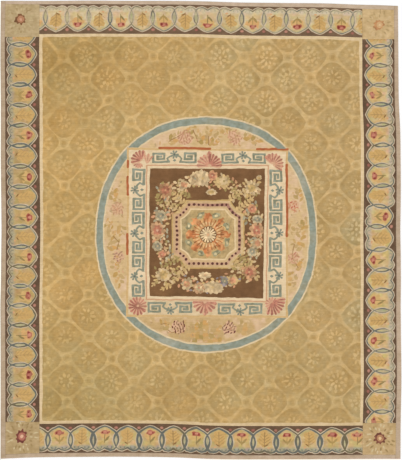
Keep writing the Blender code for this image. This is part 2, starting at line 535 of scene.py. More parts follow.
@dataclass(frozen=True)
class Bough:
    """A worn leafy bough on the same ground."""

    x: float
    y: float
    turn: float
    length: float = 14.0
    leaves: int = 7
    broad: float = 0.55
    first_leaf: float = 7.2
    taper: float = 3.0
    tones: tuple[Screen, ...] = ((184, 146, 82), (166, 138, 80), (198, 150, 86), (178, 148, 98))

    def mirrored(self, across: float) -> "Bough":
        """The same bough on the other side of the roundel, where the two places across add up to a sum."""
        return replace(self, x=across - self.x, turn=180 - self.turn)

    def paint(self, w: Weaving) -> None:
        """Leaves at even steps, each to one side in turn and smaller towards the tip, with worn edges."""
        p = w.patch(self.x, self.y, self.length + 6, self.turn)
        worn = 0.9 * p.cloud(2.6, 38)
        for i in range(self.leaves):
            chance = lottery(np.array([self.x + 3.7 * i, self.y + 2.9 * i]))
            size = self.first_leaf - self.taper * i / self.leaves
            side = 1.0 - 2.0 * (i % 2)
            q = p.moved(self.length * i / self.leaves, 0.3 * side, side * (26 + 30 * chance[0]))
            tone = mix(Dye.BOUGH_WORN.wool, linear(self.tones[i % len(self.tones)]), 0.44 + 0.5 * chance[1])
            q.paint(Layer.BAND, 0.6 * (leaf(q.u, q.v, size, size * self.broad) + worn), tone)


@dataclass(frozen=True)
class Roundel:
    """The blue and cream ring, and the pinkish ground between it and the square."""

    middle: Point = (206.1, 234.7)
    half: Point = (111.2, 118.5)
    bulge: float = 2.205
    skew: Point = (0.035, -0.13)
    cream: float = 1.5
    blue: float = 6.5
    sprigs: tuple[Sprig, ...] = (
        Sprig(185, 137.5, 7.6, (176, 120, 92), 0.75, 0.7),
        Sprig(234.5, 137.5, 7.6, (178, 124, 94), 0.75, 0.7),
        Sprig(117.5, 208.5, 6.6, (176, 126, 98), 0.75, 0.5),
        Sprig(293, 206, 5.5, (186, 102, 78), 0.85, 0.6),
        Sprig(293, 258, 6.0, (186, 124, 98), 0.75, 0.6),
        Sprig(118.5, 257, 5.6, (146, 98, 88), 0.75, 0.5),
        Sprig(179, 327, 7.0, (116, 74, 56), 0.9, 0.6),
        Sprig(229.5, 328, 6.6, (120, 78, 64), 0.9, 0.6),
    )
    boughs: tuple[Bough, ...] = (
        Bough(203, 341, -90, 13, 7, 1.0), Bough(200, 339, 190, 14, 5, 0.9), Bough(207, 339.5, -8, 14, 5, 0.9),
        Bough(241, 335, -80, 13, 6, 0.9), Bough(194, 336, -88, 13, 5, 0.7), Bough(171, 328, 200, 12, 5),
        Bough(213, 335, -60, 12, 5, 0.8), Bough(203, 330, -90, 10, 4, 1.1), Bough(208.7, 146, -90, 18, 8),
        Bough(206, 145, -128, 17, 7), Bough(211, 145, -52, 17, 7), Bough(168, 142, -34, 17, 7),
        Bough(243, 138, -30, 12, 5), Bough(250, 142, -20, 12, 5), Bough(196, 128, 160, 10, 4),
        Bough(222, 128, 20, 10, 4),
    )
    side_boughs: tuple[Bough, ...] = (
        Bough(111, 240, -92, 18, 7), Bough(107, 248, -24, 15, 6), Bough(117, 270, -110, 12, 5),
        Bough(113, 202, -88, 14, 6), Bough(121, 224, 84, 12, 5), Bough(118, 272, 78, 14, 5),
        Bough(109, 228, -120, 10, 4),
    )
    side_sum: float = 412.0
    stems: tuple[tuple[Point, Point, Point], ...] = (
        ((169, 141.5), (176, 137), (182, 134)), ((160.5, 324.5), (165, 323.6), (169, 324.5)),
        ((193, 130), (196, 137), (198, 142)), ((209, 136), (208.8, 141), (208.6, 145)),
        ((168, 330), (172, 333), (176, 331.5)), ((113, 236), (119, 242), (117, 250)),
        ((294, 244), (292, 258), (298, 268)),
    )
    tones: tuple[Screen, ...] = ((204, 142, 110), (216, 182, 134), (166, 130, 84), (192, 144, 90),
                                 (156, 136, 100), (220, 190, 148))
    flecks: int = 420
    fleck_clearance: float = 3.0
    seed: int = 3

    def depth(self, x: Array, y: Array) -> Array:
        """Distance inside the ring's outer edge, an ellipse let out between its axes, most at upper right.

        The scaled radius is the sum of the two scaled places to the power of the bulge, to its root.
        """
        across, down = (x - self.middle[0]) / self.half[0], (y - self.middle[1]) / self.half[1]
        power = self.bulge + self.skew[0] * np.clip(across, -1, 1) + self.skew[1] * np.clip(down, 0, 1)
        scaled = (np.abs(across) ** power + np.abs(down) ** power) ** (1 / power)
        return (1.0 - scaled) * 0.5 * (self.half[0] + self.half[1])

    def paint(self, w: Weaving) -> None:
        """Clears the disc, paints the boughs, flowers and flecks, then clears the ring and paints it."""
        depth = self.depth(w.x, w.y)
        gold = Dye.ROUNDEL_GOLD.towards(Dye.ROUNDEL_LOW, fade(300.0, 330.0, w.y))
        blush = fade(-0.5, 0.9, w.cloud(7.0, 22) + 0.5 * w.cloud(3.0, 39))
        ground = mix(gold, Dye.ROUNDEL_PINK.wool, 0.80 * blush)
        w.clear(-depth, ground * wear(0.05 * w.cloud(3.0, 23)))
        mirrored = [bough.mirrored(self.side_sum) for bough in self.side_boughs]
        for bough in (*self.boughs, *self.side_boughs, *mirrored):
            bough.paint(w)
        for stem in self.stems:
            bend = stem[1]
            p = w.patch(bend[0], bend[1], 16.0)
            p.paint(Layer.LINE, route(p.u + bend[0], p.v + bend[1], stem) - 0.5, Dye.STEM)
        self.strokes(w)

        inner = self.cream * 2 + self.blue
        ring = np.abs(depth - inner / 2) - inner / 2
        w.clear(ring, w.ground)
        w.paint(Layer.BAND, ring, Dye.RING_CREAM.wool * wear(0.08 * w.cloud(5.0, 29)))
        rub = Dye.RING_BLUE.towards(Dye.RING_WORN, 0.5 * fade(0.1, 0.9, w.cloud(17.0, 21)))
        rub = rub * wear(0.10 * w.cloud(4.0, 20) + 0.10 * w.cloud(1.9, 30))
        w.paint(Layer.LINE, np.abs(depth - inner / 2) - self.blue / 2, rub)

    def strokes(self, w: Weaving) -> None:
        """The flowers, and flecks at random angles and radii, none of them on the square."""
        draw = np.random.default_rng(self.seed)
        for sprig in self.sprigs:
            sprig.paint(w, draw)
        for i in range(self.flecks):
            angle, share = draw.uniform(-np.pi, np.pi), draw.uniform(0.64, 0.90)
            chance = draw.uniform(0.0, 1.0, 3)
            place = (self.middle[0] + share * self.half[0] * np.cos(angle),
                     self.middle[1] + share * self.half[1] * np.sin(angle))
            if Square.outer.outside(*place) > self.fleck_clearance:
                stroke(w, place, 300.0 * chance[0], chance, self.tones[i % len(self.tones)], 0.55)


@dataclass(frozen=True)
class Quad:
    """A square with slightly leaning sides, from its four corners."""

    top_left: Point
    top_right: Point
    bottom_left: Point
    bottom_right: Point

    def outside(self, x: Array, y: Array) -> Array:
        """Distance outside: the greatest of the distances beyond the four straight sides."""
        (ax, ay), (bx, by) = self.top_left, self.top_right
        (cx, cy), (dx, dy) = self.bottom_left, self.bottom_right
        left = ax + (cx - ax) * (y - ay) / (cy - ay)
        right = bx + (dx - bx) * (y - by) / (dy - by)
        top = ay + (by - ay) * (x - ax) / (bx - ax)
        bottom = cy + (dy - cy) * (x - cx) / (dx - cx)
        return np.max([left - x, x - right, top - y, y - bottom], axis=0)


@dataclass(frozen=True)
class KeyUnit:
    """A pair of key spirals with a blue flower between them."""

    x: float
    y: float
    turn: float
    long: float = 1.0
    tall: float = 1.0
    key: tuple[Point, ...] = (
        (-5.5, 0.0), (-21.3, 0.0), (-21.3, 9.2), (-10.3, 9.2),
        (-10.3, 3.3), (-17.5, 3.3), (-17.5, 6.2), (-13.7, 6.2),
    )
    stem: tuple[Point, ...] = ((-5.5, 0.3), (-7.2, 3.6), (-4.9, 5.8), (-1.5, 7.0))
    half_line: float = 1.12
    half_stem: float = 0.9
    flower: Point = (-0.4, -8.0)
    petals: int = 7

    def paint(self, w: Weaving) -> None:
        """The same half drawing on both sides of the axis: u runs along the side, v away from the square.

        A run of the key is a square-ended bar: the greater of the distances beyond its length and
        beyond its width.
        """
        p = w.patch(self.x, self.y, 32.0, self.turn)
        s, h = -np.abs(p.u) / self.long, -p.v / self.tall
        bars = np.min([np.maximum(np.abs(s - (a[0] + b[0]) / 2) - abs(a[0] - b[0]) / 2,
                                  np.abs(h - (a[1] + b[1]) / 2) - abs(a[1] - b[1]) / 2)
                       for a, b in zip(self.key, self.key[1:])], axis=0)
        tone = Dye.FRET_BLUE.wool * wear(0.20 * cloud(p.u + self.x, p.v + self.y, 2.4, 31))
        p.paint(Layer.LINE, bars - self.half_line, tone)
        p.paint(Layer.LINE, route(s, h, self.stem) - self.half_stem, tone)
        flower = p.moved(self.flower[0], self.flower[1] * self.tall)
        p.paint(Layer.MOTIF, rays(flower.u, flower.v, self.petals, 360, 0.8, 4.4, 2.0), Dye.FLOWER_BLUE)
        p.paint(Layer.DETAIL, disc(flower.u, flower.v, 1.1), Dye.FLOWER_EYE)
        p.paint(Layer.MOTIF, (np.abs(s) + np.abs(h - 1.6)) - 1.7, Dye.FLOWER_BLUE)


@dataclass(frozen=True)
class Palmette:
    """A mauve fan or rosette of separate petals on a pink bed, darker down their middles."""

    x: float
    y: float
    turn: float
    spread: float
    count: int
    inner: float
    outer: float
    width: float
    pale: float

    def paint(self, w: Weaving) -> None:
        """Folded petals about a base, with a narrow dark stroke down each."""
        p = w.patch(self.x, self.y, self.outer + 4, self.turn)

        def petals(inner: float, outer: float, width: float) -> Array:
            """Distance outside the folded petals, for other radii and another width."""
            return rays(p.u, p.v, self.count, self.spread, inner, outer, width)

        tone = Dye.MAUVE.towards(Dye.MAUVE_PALE, self.pale)
        tone = tone * (0.94 + 0.34 * cloud(p.u + self.x, p.v + self.y, 2.2, 33))[:, None]
        p.paint(Layer.BAND, petals(self.inner * 0.4, self.outer - 0.6, self.width * 2.5), Dye.FAN_BED)
        p.paint(Layer.MOTIF, petals(self.inner, self.outer, self.width), tone)
        dark = mix(Dye.MAUVE_DARK.wool, tone, self.pale)
        p.paint(Layer.DETAIL, petals(self.inner + 1.0, self.outer * 0.80, self.width * 0.32), dark)


@dataclass(frozen=True)
class Square:
    """The brown square in its cream band of key spirals and palmettes."""

    outer: Quad = Quad((127.0, 147.5), (288.0, 149.5), (126.0, 317.0), (288.0, 318.0))
    inner: Quad = Quad((149.8, 168.5), (265.0, 168.7), (149.4, 296.2), (263.2, 298.2))
    gold_half: float = 1.1
    red_half: float = 1.2
    pink_place: float = 3.2
    pink_half: float = 0.65
    cream_half: float = 1.3
    red: tuple[tuple[Point, Point], ...] = (
        ((159.5, 147.6), (210, 148.8)), ((257, 149.0), (287.5, 149.4)), ((127.8, 161), (127.8, 167)),
        ((127.7, 177), (127.6, 195)), ((127.3, 234), (127.2, 254)), ((286.9, 165), (286.9, 236)),
    )
    units: tuple[KeyUnit, ...] = (
        KeyUnit(174.5, 162.0, 0, 1.0, 0.92), KeyUnit(243.5, 162.8, 0, 1.0, 0.92),
        KeyUnit(170.0, 303.0, 180, 1.0, 0.96), KeyUnit(240.0, 304.2, 180, 1.0, 0.96),
        KeyUnit(144.0, 189.5, 270, 0.93, 1.14), KeyUnit(143.7, 232.8, 270, 0.93, 1.14),
        KeyUnit(143.4, 275.8, 270, 0.93, 1.14), KeyUnit(270.6, 190.5, 90, 0.93, 1.14),
        KeyUnit(270.3, 233.2, 90, 0.93, 1.14), KeyUnit(269.8, 276.2, 90, 0.93, 1.14),
    )
    palmettes: tuple[Palmette, ...] = (
        Palmette(141.2, 160.6, 228, 110, 6, 1.8, 10.6, 2.2, 0.12),
        Palmette(138.5, 162.6, 96, 100, 5, 1.2, 5.8, 1.3, 0.5),
        Palmette(146.6, 163.8, 282, 56, 3, 2.0, 10.4, 1.4, 0.6),
        Palmette(209.5, 166.0, 223, 80, 5, 2.2, 13.0, 2.0, 0.50),
        Palmette(209.5, 166.0, 315, 84, 6, 2.2, 12.6, 2.2, 0.10),
        Palmette(209.4, 166.0, 270, 10, 1, 2.2, 15.0, 2.4, 0.20),
        Palmette(272.6, 164.4, 310, 166, 9, 2.8, 11.4, 1.8, 0.32),
        Palmette(271.4, 162.0, 258, 90, 5, 1.6, 8.2, 1.3, 0.45),
        Palmette(137.8, 305.8, 140, 200, 9, 1.4, 9.8, 2.2, 0.08),
        Palmette(137.8, 305.8, 325, 130, 6, 1.4, 9.4, 1.9, 0.42),
        Palmette(271.4, 301.2, 48, 112, 8, 2.0, 14.2, 2.2, 0.12),
        Palmette(271.8, 304.0, 232, 200, 8, 2.2, 7.0, 1.5, 0.45),
        Palmette(205.2, 302.0, 134, 86, 5, 2.0, 12.6, 2.2, 0.25),
        Palmette(205.2, 302.0, 46, 72, 4, 2.0, 12.0, 3.0, 0.42),
        Palmette(205.0, 302.0, 90, 10, 1, 2.0, 14.0, 2.6, 0.60),
    )

    def paint(self, w: Weaving) -> None:
        """Clears the outer square for the key band, then the inner one for the brown ground."""
        outside = self.outer.outside(w.x, w.y)
        w.clear(outside, Dye.KEY_CREAM.wool * wear(0.06 * w.cloud(4.0, 34) - 0.10 * fade(285.0, 300.0, w.y)))
        w.paint(Layer.BAND, np.abs(outside + self.gold_half) - self.gold_half, Dye.GOLD_LINE.wool)
        for start, end in self.red:
            middle = ((start[0] + end[0]) / 2, (start[1] + end[1]) / 2)
            p = w.patch(*middle, 45.0)
            line = run(p.u + middle[0], p.v + middle[1], start, end) - self.red_half
            p.paint(Layer.LINE, line, Dye.RED.wool * wear(0.12 * p.cloud(4.0, 37)))
        inside = self.inner.outside(w.x, w.y)
        w.paint(Layer.BAND, np.abs(inside - self.pink_place) - self.pink_half, Dye.PINK_LINE.wool)
        shade = 1.0 + 0.12 * w.cloud(14.0, 35) + 0.12 * w.cloud(4.0, 36)
        w.clear(inside - 1.2, Dye.BROWN_SQUARE.wool * shade[:, None])
        w.paint(Layer.AREA, np.abs(inside - self.cream_half) - self.cream_half, Dye.KEY_CREAM.wool)
        for motif in (*self.units, *self.palmettes):
            motif.paint(w)


@dataclass(frozen=True)
class Octagon:
    """The cut-cornered panel in the middle, with its beaded band, orange star and daisy."""

    middle: Point = (208.1, 234.2)
    half: Point = (36.3, 34.3)
    cut: float = 57.0
    bow: float = 2.3
    bow_reach: float = 9.8
    band: float = 10.0
    gold_line: float = 1.0
    beading: float = 4.9
    beading_half: float = 1.5
    cream_line: float = 9.3
    cream_half: float = 0.75
    bead: Point = (1.15, 0.35)
    corner_beads: tuple[Point, ...] = ((21.6, 25.2), (24.3, 21.9), (27.6, 19.4))
    daisy: Point = (207.9, 234.6)
    petals: int = 8
    buds: float = 20.6

    def outside(self, x: Array, y: Array) -> Array:
        """Distance outside: the straight sides, and cut corners that bow inwards by a parabola."""
        ax, ay = np.abs(x - self.middle[0]), np.abs(y - self.middle[1])
        along = (ax - ay - (self.half[0] - self.half[1])) / np.sqrt(2)
        bow = self.bow * (1.0 - np.clip(along / self.bow_reach, -1, 1) ** 2)
        sides = np.maximum(ax - self.half[0], ay - self.half[1])
        return np.maximum(sides, (ax + ay - self.cut) / np.sqrt(2) + bow)

    def beads(self) -> list[Point]:
        """Centres of the dark beads: nine or eight along a side, and three down each bowed corner."""
        across, up = self.half[0] - self.beading, self.half[1] - self.beading
        places = []
        for sx in (-1, 1):
            places += [(sx * across, offset) for offset in np.linspace(-17.0, 15.0, 8)]
            places += [(offset, sx * up) for offset in np.linspace(-18.8, 18.2, 9)]
            for sy in (-1, 1):
                places += [(sx * px, sy * py) for px, py in self.corner_beads]
        return [(self.middle[0] + px, self.middle[1] + py) for px, py in places]

    def paint(self, w: Weaving) -> None:
        """Clears the panel, then paints inset outlines of it, the beads, the star and the daisy."""
        outside = self.outside(w.x, w.y)
        dx, dy = w.x - self.daisy[0], w.y - self.daisy[1]
        fleck = 1.0 + 0.20 * w.cloud(4.0, 41) + 0.14 * cloud(w.x * 1.5, w.y, 1.8, 43)
        gold = Dye.PANEL_WEST.towards(Dye.PANEL_EAST, fade(-22.0, 22.0, dx))
        grey = 0.22 * fade(24.0, 36.0, np.abs(dx) + np.abs(dy)) + 0.32 * fade(14.0, 24.0, -dx)
        w.clear(outside, mix(gold, Dye.PANEL_GREY.wool, grey) * fleck[:, None])
        light = (1.0 + 0.07 * w.cloud(3.0, 44))[:, None]
        rim = Dye.RIM_WEST.towards(Dye.RIM_EAST, fade(-30.0, 30.0, dx)) * light
        w.paint(Layer.AREA, np.abs(outside + self.band / 2) - self.band / 2, rim)
        w.paint(Layer.BAND, np.abs(outside + self.gold_line / 2) - self.gold_line / 2, Dye.RIM_GOLD.wool)
        mauve = Dye.BEADING_MAUVE.towards(Dye.BEADING_PINK, fade(0.0, 34.0, w.y - w.x + 10.0)) * light
        w.paint(Layer.BAND, np.abs(outside + self.beading) - self.beading_half, mauve)
        w.paint(Layer.LINE, np.abs(outside + self.cream_line) - self.cream_half, Dye.PANEL_CREAM.wool)
        for bx, by in self.beads():
            p = w.patch(bx, by, 4.0)
            size = self.bead[0] + self.bead[1] * float(lottery(np.array(bx + 3.0 * by)))
            p.paint(Layer.DETAIL, disc(p.u, p.v, size), Dye.BEAD)
        self.star(w)

    def star(self, w: Weaving) -> None:
        """Broad orange petals, narrow ones between, radial strokes, pale buds and the dark-edged daisy."""
        p = w.patch(self.daisy[0], self.daisy[1], 30.0)
        radius = np.hypot(p.u, p.v)
        fleck = (0.95 + 0.38 * p.cloud(2.2, 42) + 0.16 * p.cloud(4.5, 45))[:, None]
        between, off = p.moved(0, 0, 180.0 / self.petals), p.moved(0, 0, 60.0 / self.petals)
        broad = rays(p.u, p.v, self.petals, 360, 8.0, 21.8, 7.8) + 1.5 * p.cloud(2.6, 46)
        orange = Dye.STAR_LIGHT.towards(Dye.STAR_DEEP, fade(-0.3, 0.5, p.cloud(2.9, 48)))
        p.paint(Layer.AREA, broad, orange * fleck)
        narrow = rays(between.u, between.v, self.petals, 360, 8.0, 16.6, 5.4) + 1.1 * p.cloud(2.2, 47)
        p.paint(Layer.BAND, narrow, Dye.STAR_GOLD.wool * fleck)
        dark = rays(p.u, p.v, 3 * self.petals, 360, 10.0, 16.5, 1.2)
        p.paint(Layer.LINE, dark, Dye.STAR_STROKE.wool * fleck)
        p.paint(Layer.LINE, rays(off.u, off.v, 3 * self.petals, 360, 8.8, 12.8, 1.3), Dye.STAR_PALE)
        for i in range(self.petals):
            turn = 360.0 * (i + 0.5) / self.petals
            place = (self.buds * np.cos(np.radians(turn)), self.buds * np.sin(np.radians(turn)))
            q = p.moved(*place, turn + 70.0)
            q.paint(Layer.LINE, oval(q.u, q.v, 3.9, 2.6) + 1.1 * p.cloud(2.3, 49), Dye.BUD.wool * fleck)
            q.paint(Layer.MOTIF, oval(q.u - 0.6, q.v, 1.6, 1.2), Dye.BUD_PALE.wool * fleck)
            q.paint(Layer.MOTIF, leaf(q.u + 4.0, q.v + 1.6, 4.6, 1.2), Dye.BUD_LEAF)
        scallop = 0.35 * np.cos(2 * self.petals * np.arctan2(p.v, p.u))
        p.paint(Layer.MOTIF, radius - 8.3 - scallop, Dye.DAISY_EDGE)
        p.paint(Layer.DETAIL, rays(p.u, p.v, 2 * self.petals, 360, 1.4, 7.9, 1.75), Dye.DAISY.wool * fleck)
        p.paint(Layer.DETAIL, radius - 1.6, Dye.DAISY_EYE)


@dataclass(frozen=True)
class Bloom:
    """One flower of the wreath."""

    x: float
    y: float
    radius: float
    petals: int
    tone: Screen
    inner: Screen
    heart: Screen
    squash: float = 1.0

    def ring(self, u: Array, v: Array, count: int, near: float, far: float,
             phase: float) -> tuple[Array, Array]:
        """A ring of oval petals, folded onto one petal by the angle.

        Args:
            u: Distance across from the bloom's middle.
            v: Distance down from it, in units of its squash.
            count: Number of petals.
            near: Where they start, as a share of the bloom's radius.
            far: Where they end.
            phase: Turn of the first petal, as a share of a step.

        Returns:
            Distance outside the nearest petal, and that petal's own random value.
        """
        step = 2 * np.pi / count
        angle = np.arctan2(v, u)
        cell = np.round(angle / step - phase)
        off = angle - (cell + phase) * step
        petal = np.mod(cell, count) + 0.31 * self.x
        size = self.radius * (0.86 + 0.24 * lottery(petal, self.y))
        middle, half = size * (near + far) / 2, size * (far - near) / 2
        wide = 1.02 * middle * np.tan(step / 2)
        along, across = np.hypot(u, v) * np.cos(off) - middle, np.hypot(u, v) * np.sin(off)
        outside = (np.hypot(along / half, across / wide) - 1.0) * np.minimum(half, wide)
        return outside, lottery(petal, self.y + 1.0)

    def paint(self, w: Weaving) -> None:
        """A dark bed, an outer ring of petals, a smaller ring between them, and a heart."""
        p = w.patch(self.x, self.y, self.radius * max(1.3, 1.3 * self.squash) + 3)
        u, v = p.u, p.v / self.squash
        fleck = 1.0 + 0.24 * p.cloud(1.9, 51)
        p.paint(Layer.LINE, lobed(u, v, self.radius * 0.86, self.petals, 0.10), linear(self.tone) * 0.55)
        outer, chance = self.ring(u, v, self.petals + 3, 0.44, 1.06, 0.2)
        outer = outer + 0.7 * p.cloud(2.2, 53)
        p.paint(Layer.MOTIF, outer, linear(self.tone) * (fleck * (0.66 + 0.44 * chance))[:, None])
        inner, chance = self.ring(u, v, self.petals, 0.12, 0.66, 0.7)
        p.paint(Layer.DETAIL, inner, linear(self.inner) * (fleck * (0.70 + 0.42 * chance))[:, None])
        p.paint(Layer.DETAIL, disc(u, v, self.radius * 0.17), linear(self.heart))


@dataclass(frozen=True)
class Spray:
    """A stem with pairs of leaflets."""

    start: Point
    end: Point
    pairs: int
    length: float
    tone: Screen
    stem_half: float = 0.42
    spread: float = 48.0

    def paint(self, w: Weaving) -> None:
        """Leaflets at even steps along a straight stem, turned out on both sides and smaller to the tip."""
        dx, dy = self.end[0] - self.start[0], self.end[1] - self.start[1]
        reach = float(np.hypot(dx, dy))
        turn = float(np.degrees(np.arctan2(dy, dx)))
        p = w.patch(self.start[0], self.start[1], reach + self.length + 2, turn)
        tone = linear(self.tone)
        shaded = tone * (1.0 + 0.18 * p.cloud(2.0, 52))[:, None]
        p.paint(Layer.LINE, run(p.u, p.v, (0, 0), (reach, 0)) - self.stem_half, tone * 0.85)
        for i in range(self.pairs):
            along = reach * (i + 0.4) / self.pairs
            size = self.length * (1.0 - 0.35 * i / self.pairs)
            for side in (-1.0, 1.0):
                q = p.moved(along, 0.0, self.spread * side)
                p.paint(Layer.LINE, leaf(q.u, q.v, size, size * 0.50), shaded)
        tip = leaf(p.u - reach + 1, p.v, self.length * 0.8, self.length * 0.34)
        p.paint(Layer.LINE, tip, shaded)


CREAM = (207, 178, 134)
PALE = (216, 187, 144)
GOLD = (198, 164, 108)
PINK_ORANGE = (202, 148, 108)
PINK_RED = (186, 122, 94)
BLUE_GREY = (152, 143, 118)
PALE_BLUE = (182, 169, 136)
GREEN_GOLD = (160, 138, 86)
LEAF_GOLD = (198, 166, 114)
MAUVE_GREY = (146, 132, 126)
EDGE_CREAM = (192, 172, 134)
ROSE_EDGE = (200, 156, 114)

BLOOMS = (
    Bloom(195, 179, 6.0, 6, CREAM, (178, 150, 112), BLUE_GREY, 1.2),
    Bloom(203, 178, 6.2, 6, PALE, CREAM, GOLD, 1.3),
    Bloom(212.5, 175.5, 4.6, 5, PINK_ORANGE, PINK_RED, CREAM),
    Bloom(224, 181, 7.4, 8, LEAF_GOLD, CREAM, GREEN_GOLD, 0.9),
    Bloom(211, 192, 6.0, 6, PALE, GOLD, GREEN_GOLD, 0.5),
    Bloom(251.5, 188, 6.8, 8, CREAM, GOLD, GREEN_GOLD), Bloom(259, 178, 2.6, 4, CREAM, GOLD, PINK_RED),
    Bloom(252, 209, 4.4, 5, PINK_ORANGE, PINK_RED, CREAM),
    Bloom(257, 219, 5.2, 6, EDGE_CREAM, BLUE_GREY, CREAM, 0.8),
    Bloom(256.5, 230.5, 6.2, 7, ROSE_EDGE, PINK_RED, CREAM, 1.25),
    Bloom(257.5, 243.5, 5.0, 6, CREAM, PINK_ORANGE, PINK_RED),
    Bloom(252, 251.5, 5.0, 6, EDGE_CREAM, BLUE_GREY, CREAM),
    Bloom(249.5, 272, 7.0, 8, (190, 144, 104), (176, 112, 86), ROSE_EDGE, 1.0),
    Bloom(224.5, 281, 4.8, 5, MAUVE_GREY, BLUE_GREY, CREAM),
    Bloom(232.5, 280, 5.6, 6, LEAF_GOLD, PINK_ORANGE, PINK_RED),
    Bloom(213, 287, 9.2, 8, PALE, CREAM, LEAF_GOLD, 0.7),
    Bloom(199, 288, 6.0, 7, ROSE_EDGE, CREAM, PINK_RED, 1.0),
    Bloom(187, 284, 5.6, 6, CREAM, PINK_ORANGE, GOLD),
    Bloom(205, 275, 6.4, 6, PALE, CREAM, PINK_ORANGE, 0.5),
    Bloom(163.5, 274.5, 7.2, 8, CREAM, GOLD, GREEN_GOLD, 0.95),
    Bloom(162, 254, 4.4, 5, PINK_ORANGE, PINK_RED, CREAM),
    Bloom(157.5, 246, 5.2, 6, EDGE_CREAM, BLUE_GREY, CREAM),
    Bloom(157.5, 230, 7.0, 7, ROSE_EDGE, PINK_RED, (206, 160, 130), 1.2),
    Bloom(160.5, 216, 5.8, 6, EDGE_CREAM, BLUE_GREY, CREAM),
    Bloom(165.5, 190, 6.6, 7, (190, 142, 102), (172, 112, 84), PINK_ORANGE, 1.15),
    Bloom(184, 185, 5.6, 6, CREAM, PINK_ORANGE, PINK_RED, 0.9),
)

SPRAYS = (
    Spray((228, 200), (245, 190), 5, 5.0, LEAF_GOLD), Spray((236, 212), (252, 198), 6, 4.8, LEAF_GOLD),
    Spray((232, 187), (240, 199), 4, 4.4, GREEN_GOLD), Spray((234, 262), (247, 272), 5, 5.0, LEAF_GOLD),
    Spray((240, 256), (248, 266), 3, 4.8, GREEN_GOLD), Spray((190, 265), (174, 279), 5, 5.0, LEAF_GOLD),
    Spray((180, 257), (166, 265), 4, 5.0, GREEN_GOLD), Spray((188, 206), (173, 193), 5, 5.0, LEAF_GOLD),
    Spray((182, 212), (167, 203), 4, 5.0, LEAF_GOLD), Spray((191, 197), (179, 191), 4, 4.4, GREEN_GOLD),
    Spray((164, 268), (153, 285), 5, 4.8, LEAF_GOLD), Spray((248, 264), (257, 279), 4, 4.4, LEAF_GOLD),
    Spray((160, 206), (157, 196), 3, 4.2, GREEN_GOLD), Spray((172, 284), (162, 289), 3, 4.2, GOLD),
)


class Zone(Enum):
    """Stretches of the wreath, each with the tones of its small leaves and petals."""

    TOP = (CREAM, LEAF_GOLD, CREAM, LEAF_GOLD, GREEN_GOLD, PINK_ORANGE)
    SIDE = (PINK_ORANGE, ROSE_EDGE, CREAM, LEAF_GOLD, BLUE_GREY, PALE_BLUE, GREEN_GOLD)
    LOW = (CREAM, CREAM, PINK_ORANGE, LEAF_GOLD, MAUVE_GREY, GOLD)
    LEAFY = (LEAF_GOLD, GREEN_GOLD, CREAM, GOLD)


@dataclass(frozen=True)
class Garland:
    """Small leaves and petals strewn along an oval and round the corner blooms, with brown gaps between."""

    middle: Point = (207.3, 232.6)
    half: Point = (47.5, 50.5)
    gaps: Point = (0.10, 0.30)
    tuft_dabs: int = 22
    rows: tuple[float, ...] = (-7.5, -5.0, -2.5, 0.0, 2.5, 5.0, 7.5)
    spacing: float = 3.3
    inmost: float = -3.0
    tufts: tuple[tuple[float, float, float, Zone], ...] = (
        (165.5, 190.0, 9.5, Zone.SIDE), (251.5, 188.0, 10.0, Zone.TOP), (163.0, 275.0, 12.0, Zone.LEAFY),
        (249.5, 272.0, 10.5, Zone.SIDE),
    )
    seed: int = 7

    def zone(self, angle: float) -> Zone:
        """The stretch at an angle from the drawing's right, clockwise, in degrees from -180 to 180."""
        if abs(abs(angle) - 90) < 36:
            return Zone.TOP if angle < 0 else Zone.LOW
        return Zone.SIDE if min(abs(angle), 180 - abs(angle)) < 32 else Zone.LEAFY

    def paint(self, w: Weaving) -> None:
        """Rows at even steps round the oval, each step strayed, turned and sized by the random numbers."""
        draw = np.random.default_rng(self.seed)
        for row in self.rows:
            count = round(np.pi * (self.half[0] + self.half[1] + 2 * row) / self.spacing)
            for i in range(count):
                stray, chance = draw.normal(0.0, 0.9, 2), draw.uniform(0.0, 1.0, 4)
                angle = 2 * np.pi * (i + 0.5 * (row % 2)) / count - np.pi
                wide = row * (0.92 + 0.30 * abs(np.sin(angle)))
                place = (self.middle[0] + (self.half[0] + wide) * np.cos(angle) + stray[0],
                         self.middle[1] + (self.half[1] + wide) * np.sin(angle) + stray[1])
                turn = np.degrees(angle) + 90 + 140 * (chance[2] - 0.5)
                zone = self.zone(np.degrees(angle))
                bare = zone in (Zone.TOP, Zone.LOW) and row < self.inmost
                if chance[3] > self.gaps[zone is Zone.LEAFY] and not bare:
                    self.dab(w, place, turn, chance, zone)
        for cx, cy, reach, zone in self.tufts:
            for i in range(self.tuft_dabs):
                chance = draw.uniform(0.0, 1.0, 4)
                angle = 2.4 * i + chance[3]
                r = reach * np.sqrt(0.30 + 0.70 * chance[2])
                place = (cx + r * np.cos(angle), cy + r * np.sin(angle))
                self.dab(w, place, np.degrees(angle) + 50 * chance[0], chance, zone if i % 3 else Zone.LEAFY)

    def dab(self, w: Weaving, place: Point, turn: float, chance: Array, zone: Zone) -> None:
        """One leaf or petal, 3.0 to 4.6 cm long, turned and toned by its four random values."""
        p = w.patch(*place, 6.5, turn)
        tones = zone.value
        tone = linear(tones[int(chance[0] * len(tones))]) * (0.78 + 0.34 * chance[1])
        length = 3.0 + 1.6 * chance[2]
        shape = leaf(p.u + length / 2, p.v, length, length * (0.50 + 0.12 * chance[1]))
        p.paint(Layer.LINE, shape, tone)


def wreath(w: Weaving) -> None:
    """The strewn leaves, then the sprays, then the blooms over them."""
    Garland().paint(w)
    for spray in SPRAYS:
        spray.paint(w)
    for bloom in BLOOMS:
        bloom.paint(w)


